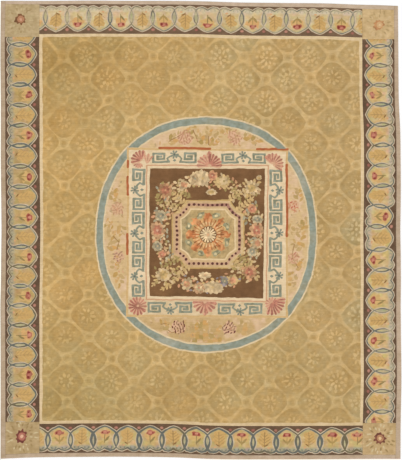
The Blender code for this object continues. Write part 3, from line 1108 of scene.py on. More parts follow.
@dataclass(frozen=True)
class Arcade:
    """One border: a row of overlapping ribbon shields, each with a rose or a leaf spray."""

    index: tuple[float, ...]
    place: tuple[float, ...]
    rose: int
    gold: Screen
    lobes: Screen
    bold: float
    veins: float
    seed: float
    motley: float = 0.08
    ribbon: float = 1.2
    pale: float = 0.3
    turned: tuple[int, ...] = ()
    extra: tuple[int, ...] = ()
    unit: float = 20.2
    deep: float = 34.7
    side: tuple[Point, ...] = (
        (0.0, 5.6), (2.0, 3.9), (5.0, 2.5), (8.0, 3.3), (9.7, 5.2), (10.8, 8.0), (11.9, 12.0), (12.1, 15.5),
        (11.7, 19.0), (10.9, 21.8), (9.6, 24.3), (7.6, 26.7), (5.2, 28.8), (2.7, 30.5), (0.0, 31.6),
    )
    shoulder: int = 4

    def shield(self, a: Array, v: Array) -> Array:
        """Distance outside one shield, from the bent line of its half outline."""
        line = route(a, v, self.side)
        flank, lobes = np.array(self.side[self.shoulder:]), np.array(self.side[:self.shoulder + 1])
        inside = (a < np.interp(v, flank[:, 1], flank[:, 0])) & (v > np.interp(a, lobes[:, 0], lobes[:, 1]))
        return np.where(inside & (v < self.side[-1][1]), -line, line)

    def paint(self, w: Weaving, along: Array, depth: Array) -> None:
        """Works each point out in its own unit and in the neighbour's, as s from the axis and v from outside.

        The ribbon runs along both outlines, the gold fills them, and the lens where they overlap
        has its own blue.

        Args:
            w: The border's weaving.
            along: Place along the side, in drawing centimetres.
            depth: 0 at the outer seam and 1 at the inner one.
        """
        count = table_curve(self.place, self.index, along)
        k = np.floor(count)
        s = (count - k - 0.5) * self.unit
        a, beside, across = np.abs(s), k + np.where(s < 0, -1, 1), depth * self.deep
        mine, theirs = np.isin(k, self.turned), np.isin(beside, self.turned)
        v = np.where(mine, self.deep - across, across)
        own = self.shield(a, v)
        other = self.shield(self.unit - a, np.where(theirs, self.deep - across, across))
        chance, luck = lottery(k, self.seed), lottery(k, self.seed + 1.0)
        patches = np.stack([w.cloud(3.6, 65 + i) for i in range(3)], axis=1) * (0.7, 0.8, 1.6)
        tint = 1.0 + self.motley * patches
        light = 1.0 + 0.16 * w.cloud(5.0, 61) + 0.10 * w.cloud(2.0, 68)
        w.ground[:] = Dye.BROWN.towards(Dye.BROWN_WORN, self.pale) * light[:, None]
        rub = 0.08 * chance - 0.05 + 0.09 * w.cloud(6.0, 62) + 0.09 * w.cloud(2.2, 58)
        past_lobes = fade(6.5, 10.5, v + 0.8 * w.cloud(3.0, 69))
        fill = mix(linear(self.lobes), linear(self.gold) * wear(rub), past_lobes)
        edge = fade(-3.6, -1.6, np.minimum(own, other))
        fill = mix(fill, Dye.SHIELD_EDGE.wool, 0.35 * edge * fade(8.0, 12.0, v))
        w.paint(Layer.AREA, np.minimum(own, other), fill * tint)
        lens = Dye.LENS_BLUE.towards(Dye.LENS_WARM, fade(-0.4, 0.6, w.cloud(12.0, 60)))
        w.paint(Layer.BAND, np.maximum(own, other), lens * tint)

        nearest = np.where(np.abs(own) < np.abs(other), own, other)
        ribbon = Dye.RIBBON_DULL.towards(Dye.RIBBON, fade(-0.6, 0.5, nearest))
        w.paint(Layer.LINE, np.abs(nearest) - self.ribbon, ribbon * (1.0 + 0.10 * w.cloud(2.4, 63))[:, None])
        dark = Dye.RIBBON_BLUE.towards(Dye.RIBBON_BROWN, 0.8 * fade(0.0, 0.7, w.cloud(13.0, 64)))
        worn = self.bold * (1.0 + 0.50 * w.cloud(7.0, 70))
        core = mix(ribbon, dark, np.clip(0.35 + 0.65 * worn, 0, 1))
        w.paint(Layer.MOTIF, np.abs(nearest + 0.2) - 0.60 * worn, core)
        curl = np.abs(np.hypot(a - 4.6, v - 6.4) - 1.9) - 0.5
        curl = np.maximum(curl, v - 7.4 + 0.6 * w.cloud(3.0, 59))
        w.paint(Layer.LINE, curl, mix(linear(self.lobes) * 1.15, dark, min(0.6 * self.bold, 0.8)))

        rose = (np.mod(k, 2) == self.rose) | np.isin(k, self.extra)
        self.roses(w, s, v, rose, chance, luck)
        self.leaves(w, s, v, ~rose, luck)
        red = Dye.DOT_DEEP.towards(Dye.DOT_PINK, lottery(k + (s > 0), self.seed + 2.0))
        dot = np.where(mine == theirs, np.hypot((self.unit / 2 - a) * 0.9, v - 29.8), FAR)
        w.paint(Layer.MOTIF, dot - 1.5, red)
        w.paint(Layer.DETAIL, dot - 0.6, red * 1.25)

    def roses(self, w: Weaving, s: Array, v: Array, here: Array, chance: Array, luck: Array) -> None:
        """A broad dark rose with a pink middle, above a thin stem with a blade or two.

        Args:
            w: The border's weaving.
            s: Distance from the unit's axis.
            v: Distance from the outer seam.
            here: Whether the unit has a rose.
            chance: Its warmth.
            luck: Its tone and blades.
        """
        pick = np.nonzero(here)[0]
        s, v, chance, luck = s[pick], v[pick], chance[pick], luck[pick]
        ragged = w.cloud(2.4, 57)[pick]
        warm = Dye.ROSE_BED.towards(Dye.ROSE_BED_WARM, chance)
        w.paint(Layer.BAND, oval(s, v - 21.5, 6.0, 6.0) + 2.2 * ragged, warm, pick)
        olive = Dye.OLIVE.towards(Dye.OLIVE_PALE, luck)
        w.paint(Layer.LINE, run(s, v, (0, 11.5), (0, 21.5)) - 0.40, olive, pick)
        c, n = np.cos(np.radians(60.0)), np.sin(np.radians(60.0))
        up, across = v - 13.0, np.where(luck > 0.45, np.abs(s), s) - 0.3
        w.paint(Layer.LINE, leaf(up * n + across * c, across * n - up * c, 8.0, 2.0), olive, pick)
        deep = Dye.ROSE_RED.towards(Dye.ROSE_DEEP, luck)
        petals = np.minimum(oval(s, v - 24.0, 3.6, 2.9), oval(np.abs(s) - 2.4, v - 23.6, 1.6, 2.1))
        faded = mix(deep, Dye.ROSE_FADED.wool, 0.22 + 0.45 * chance + 0.2 * ragged)
        w.paint(Layer.MOTIF, petals + 0.9 * ragged, faded, pick)
        heart = oval(s + 1.2 * (chance - 0.5), v - 24.4, 1.6, 1.3) + 0.6 * ragged
        w.paint(Layer.DETAIL, heart, mix(Dye.ROSE_PINK.wool, deep, 0.15 + 0.35 * luck), pick)
        w.paint(Layer.DETAIL, oval(np.abs(s) - 2.3, v - 23.6, 0.8, 1.2) + 0.5 * ragged, deep * 0.75, pick)

    def leaves(self, w: Weaving, s: Array, v: Array, here: Array, luck: Array) -> None:
        """A thin stem with slanting veins on a gold blotch and two dabs, for what roses takes."""
        pick = np.nonzero(here)[0]
        s, v, luck = s[pick], v[pick], luck[pick]
        blotch = oval(s, v - 20.0, 5.4, 8.0) + 2.4 * w.cloud(3.0, 56)[pick]
        w.paint(Layer.BAND, blotch, Dye.BLOTCH.wool, pick)
        tone = Dye.VEIN_PALE.towards(Dye.VEIN_DARK, self.veins * (0.3 + 0.7 * luck))
        w.paint(Layer.LINE, run(s, v, (0, 9.5), (0, 27.0)) - 0.42, tone, pick)
        vein = np.abs(np.mod(v - np.abs(s) * 0.95 - 9.0, 3.7) - 1.85) * 0.72 - 0.32
        keep = np.maximum(oval(s, v - 17.5, 5.4, 8.5), np.abs(s) - 5.4)
        w.paint(Layer.LINE, np.maximum(vein, keep), tone, pick)
        place = np.where(luck > 0.5, 1.6, -1.6)
        w.paint(Layer.MOTIF, oval(s - place, v - 10.6 - 0.4 * place * s, 1.7, 0.8), Dye.DAB_DARK.wool, pick)
        w.paint(Layer.MOTIF, oval(s - 2.2 * place, v - 8.9, 1.3, 1.0), Dye.DAB_PINK.wool, pick)


LEFT = Arcade(
    index=(0, 3, 8, 10, 13, 18), place=(44.5, 105, 207, 247, 305.5, 404.5), rose=0,
    gold=(185, 155, 104), lobes=(168, 154, 124), bold=1.0, veins=0.25, seed=1.0,
)
TOP = Arcade(
    index=(0, 7, 8, 14), place=(45.5, 196, 219.5, 352.5), rose=1,
    gold=(202, 177, 133), lobes=(198, 182, 151), bold=0.65, veins=0.85, seed=2.0, pale=1.0,
)
RIGHT = Arcade(
    index=(0, 3, 9, 10, 18), place=(46, 104.5, 226.5, 249.8, 411.5), rose=0,
    gold=(200, 170, 118), lobes=(184, 168, 139), bold=0.85, veins=0.45, seed=3.0, motley=0.12, turned=(8, 9),
)
BOTTOM = Arcade(
    index=(0, 10, 12, 13), place=(47.7, 276, 320, 344.8), rose=0,
    gold=(191, 164, 112), lobes=(160, 151, 128), bold=1.5, veins=0.9, seed=4.0, motley=0.12, ribbon=1.5,
    extra=(13,),
)


@dataclass(frozen=True)
class Rosette:
    """A corner square's drawing: a small dark rosette on gold, with pale and olive leaflets round it."""

    x: float
    y: float
    radius: float
    ground: Screen
    petals: Screen
    ring: Screen
    heart: Screen
    pale: Screen
    strength: float
    seed: int
    dark: Screen = (150, 124, 80)
    leaflets: int = 15
    petal_count: int = 9

    def paint(self, w: Weaving) -> None:
        """Leaflets on two uneven rings, then ragged petals, and a ring and heart off the middle."""
        shade = 0.08 * w.cloud(7.0, 71) + 0.10 * w.cloud(2.3, 72) + 0.06 * cloud(w.x * 4.0, w.y, 12.0, 73)
        ground = linear(self.ground)
        w.ground[:] = ground * wear(shade)
        draw = np.random.default_rng(self.seed)
        for i in range(2 * self.leaflets):
            chance = draw.uniform(0.0, 1.0, 4)
            angle = 360.0 * i / self.leaflets + 16 * chance[0]
            reach = self.radius * (1.15 if i < self.leaflets else 1.65) + 1.5 * chance[1]
            place = (self.x + reach * np.cos(np.radians(angle)), self.y + reach * np.sin(np.radians(angle)))
            p = w.patch(*place, 7.0, angle + 40 * (chance[2] - 0.5))
            colour = mix(ground, linear(self.pale if chance[3] > 0.40 else self.dark), self.strength)
            p.paint(Layer.LINE, leaf(p.u, p.v, 3.0 + 2.0 * chance[1], 1.7), colour)
        p = w.patch(self.x, self.y, 20.0)
        ragged = p.cloud(2.2, 74)
        petals = lobed(p.u, p.v, self.radius * 0.86, self.petal_count, 0.14) + 1.2 * ragged
        p.paint(Layer.MOTIF, petals, linear(self.petals) * (1.0 + 0.30 * ragged)[:, None])
        middle = np.hypot(p.u - 0.6, p.v)
        p.paint(Layer.DETAIL, np.abs(middle - self.radius * 0.42) - 0.8 + 0.6 * ragged, linear(self.ring))
        p.paint(Layer.DETAIL, middle - self.radius * 0.24, linear(self.heart))


CORNERS = {
    "top_left": Rosette(
        20.3, 19.2, 6.2, ground=(180, 157, 117), petals=(130, 90, 58), ring=(176, 124, 92),
        heart=(204, 156, 126), pale=(190, 170, 128), strength=0.6, seed=1,
    ),
    "top_right": Rosette(
        379.0, 25.0, 6.0, ground=(194, 165, 119), petals=(180, 130, 86), ring=(200, 160, 114),
        heart=(208, 174, 128), pale=(204, 178, 136), strength=0.5, seed=2,
    ),
    "bottom_left": Rosette(
        21.6, 436.3, 6.8, ground=(175, 149, 107), petals=(122, 68, 56), ring=(174, 108, 90),
        heart=(216, 170, 138), pale=(200, 182, 142), strength=0.85, seed=3,
    ),
    "bottom_right": Rosette(
        379.3, 438.6, 6.4, ground=(186, 157, 112), petals=(122, 74, 58), ring=(176, 128, 92),
        heart=(218, 184, 136), pale=(202, 182, 142), strength=0.9, seed=4,
    ),
}


@dataclass(frozen=True)
class Outline:
    """The outline of a cut piece seen from above, as four edges that each run from low to high."""

    bottom: Array
    right: Array
    top: Array
    left: Array

    @classmethod
    def of(cls, node: bpy.types.Object) -> "Outline":
        """Reads the rim of a CAD piece's upper face.

        A directed edge of the face is on the rim where no other triangle has it the other way
        round. Its own direction says which of the four edges it is on.

        Args:
            node: The CAD piece, a flat slab.

        Returns:
            The outline, in metres.
        """
        mesh = node.data
        places = np.zeros(len(mesh.vertices) * 3)
        mesh.vertices.foreach_get("co", places)
        mesh.calc_loop_triangles()
        corners = np.zeros(len(mesh.loop_triangles) * 3, dtype=int)
        mesh.loop_triangles.foreach_get("vertices", corners)
        rounded, single = np.unique(places.reshape(-1, 3).round(6), axis=0, return_inverse=True)
        triangles = single.ravel()[corners].reshape(-1, 3)
        triangles = triangles[(rounded[triangles][:, :, 2] > THICKNESS / 2).all(axis=1)]
        edges = np.concatenate([triangles[:, [0, 1]], triangles[:, [1, 2]], triangles[:, [2, 0]]])
        forward, back = edges @ (len(rounded), 1), edges @ (1, len(rounded))
        rim = edges[~np.isin(forward, back)]
        step = rounded[rim[:, 1]] - rounded[rim[:, 0]]
        flat = np.abs(step[:, 0]) > np.abs(step[:, 1])

        def line(which: Array, axis: int) -> Array:
            """The points of the rim edges picked, in order along one axis."""
            points = rounded[np.unique(rim[which])][:, :2]
            return points[np.argsort(points[:, axis])]

        return cls(bottom=line(flat & (step[:, 0] > 0), 0), right=line(~flat & (step[:, 1] > 0), 1),
                   top=line(flat & (step[:, 0] < 0), 0), left=line(~flat & (step[:, 1] < 0), 1))

    @property
    def width(self) -> float:
        """Mean reach of the lower and upper edges from left to right."""
        return float(np.mean([edge[-1, 0] - edge[0, 0] for edge in (self.bottom, self.top)]))

    @property
    def length(self) -> float:
        """Mean height of the left and right edges."""
        return float(np.mean([edge[-1, 1] - edge[0, 1] for edge in (self.left, self.right)]))

    def place(self, s: Array, t: Array) -> Array:
        """Points of the surface that four edges span, the bilinear blend of Coons.

        It is the blend between the lower and upper edges, plus the blend between the left and
        right ones, less the blend of the four corners.

        Args:
            s: Share of the way from left to right.
            t: Share of the way from bottom to top.

        Returns:
            One row of x and y for each point, in metres.
        """
        s, t = s[:, None], t[:, None]

        def along(edge: Array, share: Array, axis: int) -> Array:
            """Points at shares of an edge's reach along one axis."""
            main = edge[0, axis] + share[:, 0] * (edge[-1, axis] - edge[0, axis])
            other = np.interp(main, edge[:, axis], edge[:, 1 - axis])
            return np.stack([main, other] if axis == 0 else [other, main], axis=1)

        rows = (1 - t) * along(self.bottom, s, 0) + t * along(self.top, s, 0)
        columns = (1 - s) * along(self.left, t, 1) + s * along(self.right, t, 1)
        corners = ((1 - s) * (1 - t) * self.bottom[0] + s * (1 - t) * self.bottom[-1]
                   + (1 - s) * t * self.top[0] + s * t * self.top[-1])
        return rows + columns - corners


def divisions(length: float, pitch: float, fine: tuple[float, float, float] | None = None) -> Array:
    """Shares from 0 to 1 at an even pitch, or at a finer one within a stretch, with an even number of steps.

    Args:
        length: Length of the side, in metres.
        pitch: Distance between points, in metres.
        fine: Start and end of the finer stretch as shares, and its pitch in metres.
    """
    def steps(start: float, stop: float, size: float) -> Array:
        """An even number of equal steps, of about the size asked for."""
        count = 2 * max(1, round((stop - start) * length / size / 2))
        return np.linspace(start, stop, count + 1)

    if fine is None:
        return steps(0.0, 1.0, pitch)
    low, high, small = fine
    runs = [steps(0.0, low, pitch)] if low > 0 else []
    runs += [steps(low, high, small)]
    runs += [steps(high, 1.0, pitch)] if high < 1 else []
    return np.unique(np.concatenate(runs))


# Height in metres, wave size in centimetres and seed of each ripple in the cloth.
RIPPLES = ((0.0006, 34.0, 91), (0.0004, 13.0, 92))


def lift(x: Array, y: Array) -> Array:
    """How high the cloth stands off the floor, in metres: two sizes of slow waves, never below 0."""
    return sum(rise * (1.0 + cloud(x, y, scale, seed)) for rise, scale, seed in RIPPLES)


# Paints a weaving, given its points' shares across and up.
Drawing = Callable[[Weaving, Array, Array], None]


@dataclass(frozen=True)
class Slab:
    """A thin closed sheet on a grid: an upper face, a rounded wall and a coarser underside."""

    name: str
    outline: Outline
    s: Array
    t: Array
    cut_left: bool = False
    cut_right: bool = False
    cut_bottom: bool = False
    cut_top: bool = False
    round: float = 0.0010
    waist: float = 0.0018
    margin: float = 0.005
    waist_margin: float = 0.002
    share_above: float = 0.75

    def shares(self, s: Array, t: Array, inset: float) -> tuple[Array, Array]:
        """A grid of shares, with the sewn and outer edges drawn in by the inset."""
        ds, dt = inset / self.outline.width, inset / self.outline.length
        low_s, high_s = s[0] + (0 if self.cut_left else ds), s[-1] - (0 if self.cut_right else ds)
        low_t, high_t = t[0] + (0 if self.cut_bottom else dt), t[-1] - (0 if self.cut_top else dt)
        gs, gt = np.meshgrid(np.clip(s, low_s, high_s), np.clip(t, low_t, high_t), indexing="ij")
        return gs.ravel(), gt.ravel()

    def map_places(self, s: Array, t: Array, height: Array, share: float, start: float) -> Array:
        """Places on the bake map: the shares across and up, with the waist let out past the two faces' rims.

        Args:
            s: Share across the outline.
            t: Share up the outline.
            height: Height, which tells the waist from the faces.
            share: Part of the map's height that the face takes.
            start: Where that part starts.

        Returns:
            One row of u and v for each point.
        """
        flat = np.column_stack([(s - self.s[0]) / np.ptp(self.s), (t - self.t[0]) / np.ptp(self.t)])
        waist = (height == self.waist)[:, None]
        ends = np.round(flat)
        at_end = np.abs(flat - ends) < 1e-6
        inset = flat * (1 - 2 * self.margin) + self.margin
        outer = ends * (1 - 2 * self.waist_margin) + self.waist_margin
        let_out = np.where(waist & at_end, outer, inset)
        return let_out * (1.0, share) + (0.0, start)

    @staticmethod
    def ring(columns: int, rows: int) -> Array:
        """Numbers of a grid's rim points, anticlockwise seen from above, closed on its first point."""
        grid = np.arange(columns * rows).reshape(columns, rows)
        return np.concatenate([grid[:-1, 0], grid[-1, :-1], grid[:0:-1, -1], grid[0, ::-1]])

    @staticmethod
    def cells(columns: int, rows: int) -> Array:
        """The grid's cells as rows of four point numbers, anticlockwise seen from above."""
        grid = np.arange(columns * rows).reshape(columns, rows)
        return np.stack([grid[:-1, :-1], grid[1:, :-1], grid[1:, 1:], grid[:-1, 1:]], axis=-1).reshape(-1, 4)

    def build(self, drawing: Drawing, wool: bpy.types.Material) -> bpy.types.Object:
        """Builds the mesh and stores the drawing in it.

        The rings of the wall are the upper grid's rim let out to the outline, and the underside's
        rim. The underside has half the divisions, so each of its rim edges meets two of the wall's,
        with three triangles.

        Args:
            drawing: Paints a weaving, given its points' shares across and up the piece.
            wool: The finish.

        Returns:
            The piece.
        """
        ns, nt = self.s.size, self.t.size
        under_s, under_t = self.s[::2], self.t[::2]
        top_s, top_t = self.shares(self.s, self.t, self.round)
        rim = self.ring(ns, nt)[:-1]
        full_s, full_t = self.shares(self.s, self.t, 0.0)
        low_s, low_t = self.shares(under_s, under_t, self.round / 2)
        s = np.concatenate([top_s, full_s[rim], low_s])
        t = np.concatenate([top_t, full_t[rim], low_t])
        xy = self.outline.place(s, t)
        x, y = (xy[:, 0] + ORIGIN[0]) / CENTIMETRE, (ORIGIN[1] - xy[:, 1]) / CENTIMETRE
        levels = np.array([THICKNESS, self.waist, 0.0])
        height = np.repeat(levels, (top_s.size, rim.size, low_s.size))
        places = np.column_stack([xy, height + lift(x, y)])
        upper_map = self.map_places(s, t, height, self.share_above, 0.0)
        flipped = self.s[0] + self.s[-1] - s
        lower_map = self.map_places(flipped, t, height, 1 - self.share_above, self.share_above)

        waist = top_s.size + np.arange(rim.size)
        waist = np.append(waist, waist[0])
        upper = np.append(rim, rim[0])
        start = top_s.size + rim.size
        lower = start + self.ring(under_s.size, under_t.size)
        first, middle, last = waist[:-1:2], waist[1::2], waist[2::2]
        faces_above = self.cells(ns, nt)
        wall = np.stack([waist[:-1], waist[1:], upper[1:], upper[:-1]], axis=1)
        faces_below = start + self.cells(under_s.size, under_t.size)[:, ::-1]
        quads = np.concatenate([faces_above, wall, faces_below])
        thirds = np.concatenate([np.stack([lower[:-1], middle, first], axis=1),
                                 np.stack([lower[:-1], lower[1:], middle], axis=1),
                                 np.stack([lower[1:], last, middle], axis=1)])
        mesh = bpy.data.meshes.new(self.name)
        mesh.vertices.add(len(places))
        mesh.vertices.foreach_set("co", places.ravel())
        loops = np.concatenate([quads.ravel(), thirds.ravel()])
        mesh.loops.add(loops.size)
        mesh.loops.foreach_set("vertex_index", loops)
        counts = np.concatenate([np.full(len(quads), 4), np.full(len(thirds), 3)])
        mesh.polygons.add(counts.size)
        mesh.polygons.foreach_set("loop_start", np.concatenate([[0], np.cumsum(counts)[:-1]]))
        mesh.update(calc_edges=True)
        on_top = np.arange(loops.size) < faces_above.size + wall.size
        bake_map = np.where(on_top[:, None], upper_map[loops], lower_map[loops])
        mesh.uv_layers.new(name=BAKE_MAP).data.foreach_set("uv", bake_map.ravel().astype(np.float32))
        smooth = np.zeros(counts.size, dtype=bool)
        smooth[:len(faces_above)] = True
        smooth[len(quads) - len(faces_below):len(quads)] = True
        mesh.polygons.foreach_set("use_smooth", smooth)
        cuts = ((self.cut_left, top_s == self.s[0]), (self.cut_right, top_s == self.s[-1]),
                (self.cut_bottom, top_t == self.t[0]), (self.cut_top, top_t == self.t[-1]))
        at_cut = np.zeros(len(places), dtype=bool)
        at_cut[:top_s.size] = np.any([cut & on_edge for cut, on_edge in cuts], axis=0)
        ends = np.zeros(2 * len(mesh.edges), dtype=int)
        mesh.edges.foreach_get("vertices", ends)
        sharp = at_cut[ends].reshape(-1, 2).all(axis=1)
        mesh.attributes.new("sharp_edge", "BOOLEAN", "EDGE").data.foreach_set("value", sharp)

        weaving = Weaving(x, y)
        drawing(weaving, s, t)
        weaving.store(mesh)
        under = np.zeros(len(places), dtype=np.float32)
        under[start:] = 1.0
        mesh.attributes.new("under", "FLOAT", "POINT").data.foreach_set("value", under)
        mesh.materials.append(wool)
        piece = bpy.data.objects.new(self.name, mesh)
        bpy.context.scene.collection.objects.link(piece)
        return piece


Socket = bpy.types.NodeSocket
Triple = tuple[float, float, float]
Paint = tuple[float, float, float, float]


class Nodes:
    """Short ways to place and join a material's nodes."""

    def __init__(self, name: str) -> None:
        """Starts a material that holds only its output."""
        self.material = bpy.data.materials.new(name)
        self.material.use_nodes = True
        self.tree = self.material.node_tree
        self.tree.nodes.clear()
        self.output = self.tree.nodes.new("ShaderNodeOutputMaterial")

    def add(self, kind: str, **settings: object) -> bpy.types.Node:
        """Places a node and gives it its settings."""
        node = self.tree.nodes.new(kind)
        for name, value in settings.items():
            setattr(node, name, value)
        return node

    def join(self, value: Socket | float | Paint, socket: Socket) -> None:
        """Links a socket to an input, or sets a plain value on it."""
        if isinstance(value, Socket):
            self.tree.links.new(value, socket)
        else:
            socket.default_value = value

    def feed(self, node: bpy.types.Node, **values: Socket | float | Paint) -> bpy.types.Node:
        """Links or sets a node's inputs, which are named with _ for a space."""
        for name, value in values.items():
            self.join(value, node.inputs[name.replace("_", " ")])
        return node

    def math(self, operation: str, *values: Socket | float) -> Socket:
        """One step of arithmetic on single numbers."""
        node = self.add("ShaderNodeMath", operation=operation)
        for socket, value in zip(node.inputs, values):
            self.join(value, socket)
        return node.outputs[0]

    def mix(self, factor: Socket | float, a: Socket | Paint, b: Socket | Paint, blend: str = "MIX") -> Socket:
        """Two colours blended."""
        node = self.add("ShaderNodeMix", data_type="RGBA", blend_type=blend)
        for number, value in ((0, factor), (6, a), (7, b)):
            self.join(value, node.inputs[number])
        return node.outputs[2]

    def noise(self, place: Socket, stretch: Point, detail: float = 2.0, output: str = "Fac") -> Socket:
        """Noise from 0 to 1, with so many waves to the metre along x and y."""
        mapping = self.feed(self.add("ShaderNodeMapping"), Vector=place, Scale=(*stretch, 1.0))
        node = self.feed(self.add("ShaderNodeTexNoise"), Vector=mapping.outputs[0], Scale=1.0, Detail=detail)
        return node.outputs[output]

    def scatter(self, noise: Socket, amount: float) -> Socket:
        """Noise less a half, times an amount."""
        return self.math("MULTIPLY", self.math("SUBTRACT", noise, 0.5), amount)

    def scaled(self, value: Socket, factors: Triple, start: Triple) -> Socket:
        """Three numbers, each times its own factor and then added to its own start."""
        node = self.feed(self.add("ShaderNodeVectorMath", operation="MULTIPLY_ADD"), Vector=value)
        self.join(factors, node.inputs[1])
        self.join(start, node.inputs[2])
        return node.outputs[0]

    def stored(self, name: str) -> bpy.types.Node:
        """A value that the mesh holds at its points."""
        return self.add("ShaderNodeAttribute", attribute_type="GEOMETRY", attribute_name=name)


@dataclass(frozen=True)
class Wool:
    """Tapestry-woven wool: ribs up the carpet, wefts across it, in the colours that the mesh holds.

    Lengths are in metres, and the raggedness and softness of an edge in centimetres.
    """

    name: str
    rib: float = 0.0034
    relief: float = 0.00030
    mottle: float = 0.36
    streak: float = 0.28
    grain: float = 0.30
    motley: float = 0.055
    ragged: float = 0.42
    soft: float = 0.13
    roughness: float = 0.93
    fading: Triple = (1.0, 1.12, 1.45)
    loose_ends: float = 0.60
    end_share: float = 0.35
    end_colour: Paint = (0.42, 0.32, 0.20, 1.0)
    under_shade: float = 0.10

    def make(self) -> bpy.types.Material:
        """Lays the mesh's colour layers over each other, then adds fading, weave and sheen.

        Each layer shows where its signed distance, made ragged by weft-shaped noise, is below
        zero. The sum of three noises less a half scales the colour: patches, streaks along the
        weft, and grain. The blue is scaled most, as it fades first. The ribs are a sine wave
        across x.

        Returns:
            The material.
        """
        n = Nodes(self.name)
        place = n.add("ShaderNodeTexCoord").outputs["Object"]
        colour = self.drawing(n, place)
        patches = n.scatter(n.noise(place, (26.0, 34.0), 3.0), self.mottle)
        streaks = n.scatter(n.noise(place, (9.0, 110.0)), self.streak)
        grain = n.scatter(n.noise(place, (260.0, 520.0)), self.grain)
        level = n.math("ADD", n.math("ADD", patches, streaks), grain)
        worn = n.scaled(level, self.fading, (1.0, 1.0, 1.0))
        colour = n.mix(1.0, self.underside(n, place, colour), worn, "MULTIPLY")
        factors = (0.7 * self.motley, 0.6 * self.motley, 1.7 * self.motley)
        start = (1 - 0.35 * self.motley, 1 - 0.3 * self.motley, 1 - 0.85 * self.motley)
        hues = n.scaled(n.noise(place, (20.0, 34.0), output="Color"), factors, start)
        colour = n.mix(1.0, colour, hues, "MULTIPLY")
        shader = n.feed(
            n.add("ShaderNodeBsdfPrincipled"), Base_Color=colour, Roughness=self.roughness,
            Normal=self.weave(n, place), Sheen_Weight=0.12, Sheen_Roughness=0.5, Specular_IOR_Level=0.15,
        )
        n.feed(n.output, Surface=shader.outputs[0])
        return n.material

    def drawing(self, n: Nodes, place: Socket) -> Socket:
        """The ground with each layer of the drawing over it, in order."""
        ragged = n.scatter(n.noise(place, (140.0, 420.0), 1.0), self.ragged)
        colour = n.stored("ground").outputs["Color"]
        for layer in Layer:
            distance = n.math("ADD", n.stored(f"{layer.stem}_distance").outputs["Fac"], ragged)
            shown = n.feed(
                n.add("ShaderNodeMapRange", interpolation_type="SMOOTHSTEP"), Value=distance,
                From_Min=-self.soft, From_Max=self.soft, To_Min=1.0, To_Max=0.0,
            )
            colour = n.mix(shown.outputs[0], colour, n.stored(f"{layer.stem}_colour").outputs["Color"])
        return colour

    def underside(self, n: Nodes, place: Socket, colour: Socket) -> Socket:
        """The colour, which on the underside is a little darker and has loose weft ends."""
        under = n.stored("under").outputs["Fac"]
        loose = n.math("GREATER_THAN", n.noise(place, (60.0, 150.0), 3.0), self.loose_ends)
        ends = n.math("MULTIPLY", n.math("MULTIPLY", loose, under), self.end_share)
        colour = n.mix(ends, colour, self.end_colour)
        return n.mix(n.math("MULTIPLY", under, self.under_shade), colour, (0.0, 0.0, 0.0, 1.0))

    def weave(self, n: Nodes, place: Socket) -> Socket:
        """The bent normal: ribs 0.35 high, wefts 1 high and slow unevenness 1.5 high, times the relief."""
        across = n.feed(n.add("ShaderNodeSeparateXYZ"), Vector=place).outputs["X"]
        rib = n.math("SINE", n.math("MULTIPLY", across, 2 * math.pi / self.rib))
        height = n.math("ADD", n.math("MULTIPLY", rib, 0.35), n.noise(place, (300.0, 900.0)))
        height = n.math("ADD", height, n.math("MULTIPLY", n.noise(place, (40.0, 60.0)), 1.5))
        bump = n.feed(n.add("ShaderNodeBump"), Height=height, Distance=self.relief, Strength=1.0)
        return bump.outputs[0]


class Side(Enum):
    """The four sides of the carpet."""

    LEFT = "left"
    RIGHT = "right"
    BOTTOM = "bottom"
    TOP = "top"

    @property
    def upright(self) -> bool:
        """Whether the side runs up the carpet."""
        return self in (Side.LEFT, Side.RIGHT)


def finish_piece(piece: bpy.types.Object, node: str, size: Point) -> None:
    """Makes a piece ride and stand for its CAD piece, and logs its triangles and size.

    Args:
        piece: The piece.
        node: The CAD piece that it stands for.
        size: Flat width and length, in metres.
    """
    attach(piece, "root")
    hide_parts(node)
    triangles = sum(len(face.vertices) - 2 for face in piece.data.polygons)
    LOG.info("%s: %d triangles, %.0f by %.0f mm", piece.name, triangles, size[0] * 1000, size[1] * 1000)


def lay(frame: dict, node: str, pitch: float, drawing: Drawing, wool: bpy.types.Material) -> None:
    """Builds and finishes the sheet that stands for one whole CAD piece.

    Args:
        frame: The shared frame.
        node: The CAD piece.
        pitch: Distance between the sheet's points, in metres.
        drawing: The piece's drawing.
        wool: The finish.
    """
    outline = Outline.of(frame["nodes"][node])
    size = (outline.width, outline.length)
    slab = Slab(f"{node}_weave", outline, divisions(size[0], pitch), divisions(size[1], pitch))
    finish_piece(slab.build(drawing, wool), node, size)


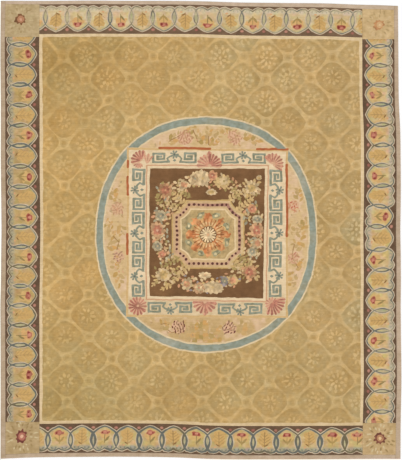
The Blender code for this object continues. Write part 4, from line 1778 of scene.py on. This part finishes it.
@dataclass(frozen=True)
class Field:
    """The gold field with its guard stripe and medallion, in four quarters that meet flush."""

    frame: dict
    pitch: float = 0.0098
    fine: float = 0.0060
    guard: float = 3.1
    medallion: tuple[float, float, float, float] = (124.5, 145.0, 290.5, 320.5)
    middle: Point = (206.4, 233.7)

    def draw(self, w: Weaving, s: Array, t: Array) -> None:
        """Paints the trellis, the guard stripe along the four edges, and the medallion over both."""
        Trellis().paint(w)
        outline = self.outline
        width, length = outline.width / CENTIMETRE, outline.length / CENTIMETRE
        s, t = s + (w.x - w.raw_x) / width, t + (w.raw_y - w.y) / length
        inside = np.min([s * width, (1 - s) * width, t * length, (1 - t) * length], axis=0)
        shade = 0.06 * w.cloud(5.0, 15) - 0.08 * fade(410.0, 422.0, w.y)
        w.paint(Layer.DETAIL, inside - self.guard, Dye.GUARD.wool * wear(shade))
        Roundel().paint(w)
        Square().paint(w)
        Octagon().paint(w)
        wreath(w)

    @property
    def outline(self) -> Outline:
        """The field's outline."""
        return Outline.of(self.frame["nodes"]["field"])

    def build(self, wool: bpy.types.Material) -> None:
        """Builds the quarters, with finer points over the medallion."""
        outline = self.outline
        x0, y0, x1, y1 = self.medallion
        left, low = outline.left[:, 0].mean(), outline.bottom[:, 1].mean()

        def across(x: float) -> float:
            """A drawing x as a share of the field's width."""
            return (x * CENTIMETRE - ORIGIN[0] - left) / outline.width

        def up(y: float) -> float:
            """A drawing y as a share of the field's height."""
            return (ORIGIN[1] - y * CENTIMETRE - low) / outline.length

        s = divisions(outline.width, self.pitch, (across(x0), across(x1), self.fine))
        t = divisions(outline.length, self.pitch, (up(y1), up(y0), self.fine))
        half_s = 2 * (np.abs(s - across(self.middle[0])).argmin() // 2)
        half_t = 2 * (np.abs(t - up(self.middle[1])).argmin() // 2)
        rises = (("lower", t[:half_t + 1], False, True), ("upper", t[half_t:], True, False))
        ways = (("left", s[:half_s + 1], False, True), ("right", s[half_s:], True, False))
        for rise, rows, low_cut, high_cut in rises:
            for way, columns, left_cut, right_cut in ways:
                name = f"field_{rise}_{way}"
                slab = Slab(name, outline, columns, rows, left_cut, right_cut, low_cut, high_cut)
                piece = slab.build(self.draw, wool)
                size = ((columns[-1] - columns[0]) * outline.width, (rows[-1] - rows[0]) * outline.length)
                finish_piece(piece, "field", size)


@dataclass(frozen=True)
class Border:
    """One border strip and its arcade."""

    frame: dict
    side: Side
    arcade: Arcade
    pitch: float = 0.0066

    @property
    def node(self) -> str:
        """The CAD piece that the strip stands for."""
        return f"border_{self.side.value}"

    def draw(self, w: Weaving, s: Array, t: Array) -> None:
        """Paints the arcade, with its depth measured from the outer seam to the inner one."""
        outline = Outline.of(self.frame["nodes"][self.node])
        if self.side.upright:
            depth = s + (w.x - w.raw_x) * CENTIMETRE / outline.width
            depth = depth if self.side is Side.LEFT else 1 - depth
            self.arcade.paint(w, w.y, depth)
        else:
            depth = t - (w.y - w.raw_y) * CENTIMETRE / outline.length
            depth = depth if self.side is Side.BOTTOM else 1 - depth
            self.arcade.paint(w, w.x, depth)

    def build(self, wool: bpy.types.Material) -> None:
        """Builds the strip."""
        lay(self.frame, self.node, self.pitch, self.draw, wool)


@dataclass(frozen=True)
class Corner:
    """One corner square and its rosette."""

    frame: dict
    place: str
    rosette: Rosette
    pitch: float = 0.0072

    def draw(self, w: Weaving, s: Array, t: Array) -> None:
        """Paints the rosette, which needs no shares."""
        self.rosette.paint(w)

    def build(self, wool: bpy.types.Material) -> None:
        """Builds the square."""
        lay(self.frame, f"corner_{self.place}", self.pitch, self.draw, wool)


@dataclass(frozen=True)
class Band:
    """One length of the plain outer band."""

    frame: dict
    side: Side
    pitch: float = 0.0120

    def draw(self, w: Weaving, s: Array, t: Array) -> None:
        """Paints the taupe ground, which is darker in places along its length."""
        shade = 0.06 * w.cloud(17.0, 81) + 0.06 * w.cloud(5.0, 82)
        sides = 0.09 * (self.side is Side.TOP) - 0.05 * (self.side is Side.LEFT)
        w.ground[:] = Dye.TAUPE.wool * wear(shade + sides)

    def build(self, wool: bpy.types.Material) -> None:
        """Builds the length."""
        lay(self.frame, f"band_{self.side.value}", self.pitch, self.draw, wool)


@dataclass(frozen=True)
class Studio:
    """A pale floor, soft even light and a camera straight above the carpet."""

    lens: float = 50.0
    sensor: float = 36.0
    view_long: float = 4.60
    middle: Point = (0.001, 0.0)
    floor: float = 24.0
    floor_height: float = -0.0003
    floor_colour: Paint = (0.93, 0.93, 0.93, 1.0)
    sky: float = 0.74
    sun: float = 1.25
    sun_angle: float = 40.0
    sun_from: Triple = (0.5, -0.8, 1.6)

    def build(self) -> None:
        """Places the floor, the light and the camera."""
        half = self.floor / 2
        rim = ((-half, -half), (half, -half), (half, half), (-half, half))
        mesh = bpy.data.meshes.new("studio_floor")
        mesh.from_pydata([(x, y, self.floor_height) for x, y in rim], [], [(0, 1, 2, 3)])
        floor = bpy.data.objects.new("studio_floor", mesh)
        bpy.context.scene.collection.objects.link(floor)
        paper = Nodes("floor_paper")
        shader = paper.feed(
            paper.add("ShaderNodeBsdfPrincipled"), Base_Color=self.floor_colour, Roughness=0.9,
            Specular_IOR_Level=0.1,
        )
        paper.feed(paper.output, Surface=shader.outputs[0])
        mesh.materials.append(paper.material)
        lamp = bpy.data.lights.new("soft_sun", "SUN")
        lamp.energy = self.sun
        lamp.angle = math.radians(self.sun_angle)
        sun = bpy.data.objects.new("soft_sun", lamp)
        sun.rotation_euler = Vector(self.sun_from).to_track_quat("Z", "Y").to_euler()
        bpy.context.scene.collection.objects.link(sun)
        world = bpy.data.worlds.new("studio")
        world.use_nodes = True
        background = world.node_tree.nodes["Background"]
        background.inputs["Color"].default_value = (1.0, 1.0, 1.0, 1.0)
        background.inputs["Strength"].default_value = self.sky
        bpy.context.scene.world = world
        bpy.context.scene.view_settings.view_transform = "Standard"
        data = bpy.data.cameras.new("camera")
        data.lens, data.sensor_width = self.lens, self.sensor
        camera = bpy.data.objects.new("camera", data)
        distance = self.view_long * self.lens / self.sensor
        camera.location = (*self.middle, THICKNESS + distance)
        bpy.context.scene.collection.objects.link(camera)
        bpy.context.scene.camera = camera


def main() -> None:
    """Builds the studio and the carpet's pieces in order."""
    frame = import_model()
    Studio().build()
    field_wool = Wool("field_wool_weave").make()
    border_wool = Wool("border_wool_weave").make()
    corner_wool = Wool("corner_wool_weave").make()
    band_wool = Wool("band_wool_weave").make()
    Field(frame).build(field_wool)
    for side, arcade in ((Side.LEFT, LEFT), (Side.RIGHT, RIGHT), (Side.BOTTOM, BOTTOM), (Side.TOP, TOP)):
        Border(frame, side, arcade).build(border_wool)
    for place, rosette in CORNERS.items():
        Corner(frame, place, rosette).build(corner_wool)
    for side in Side:
        Band(frame, side).build(band_wool)
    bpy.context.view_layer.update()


if __name__ == "__main__":
    logging.basicConfig(level=logging.INFO, format="%(message)s")
    main()
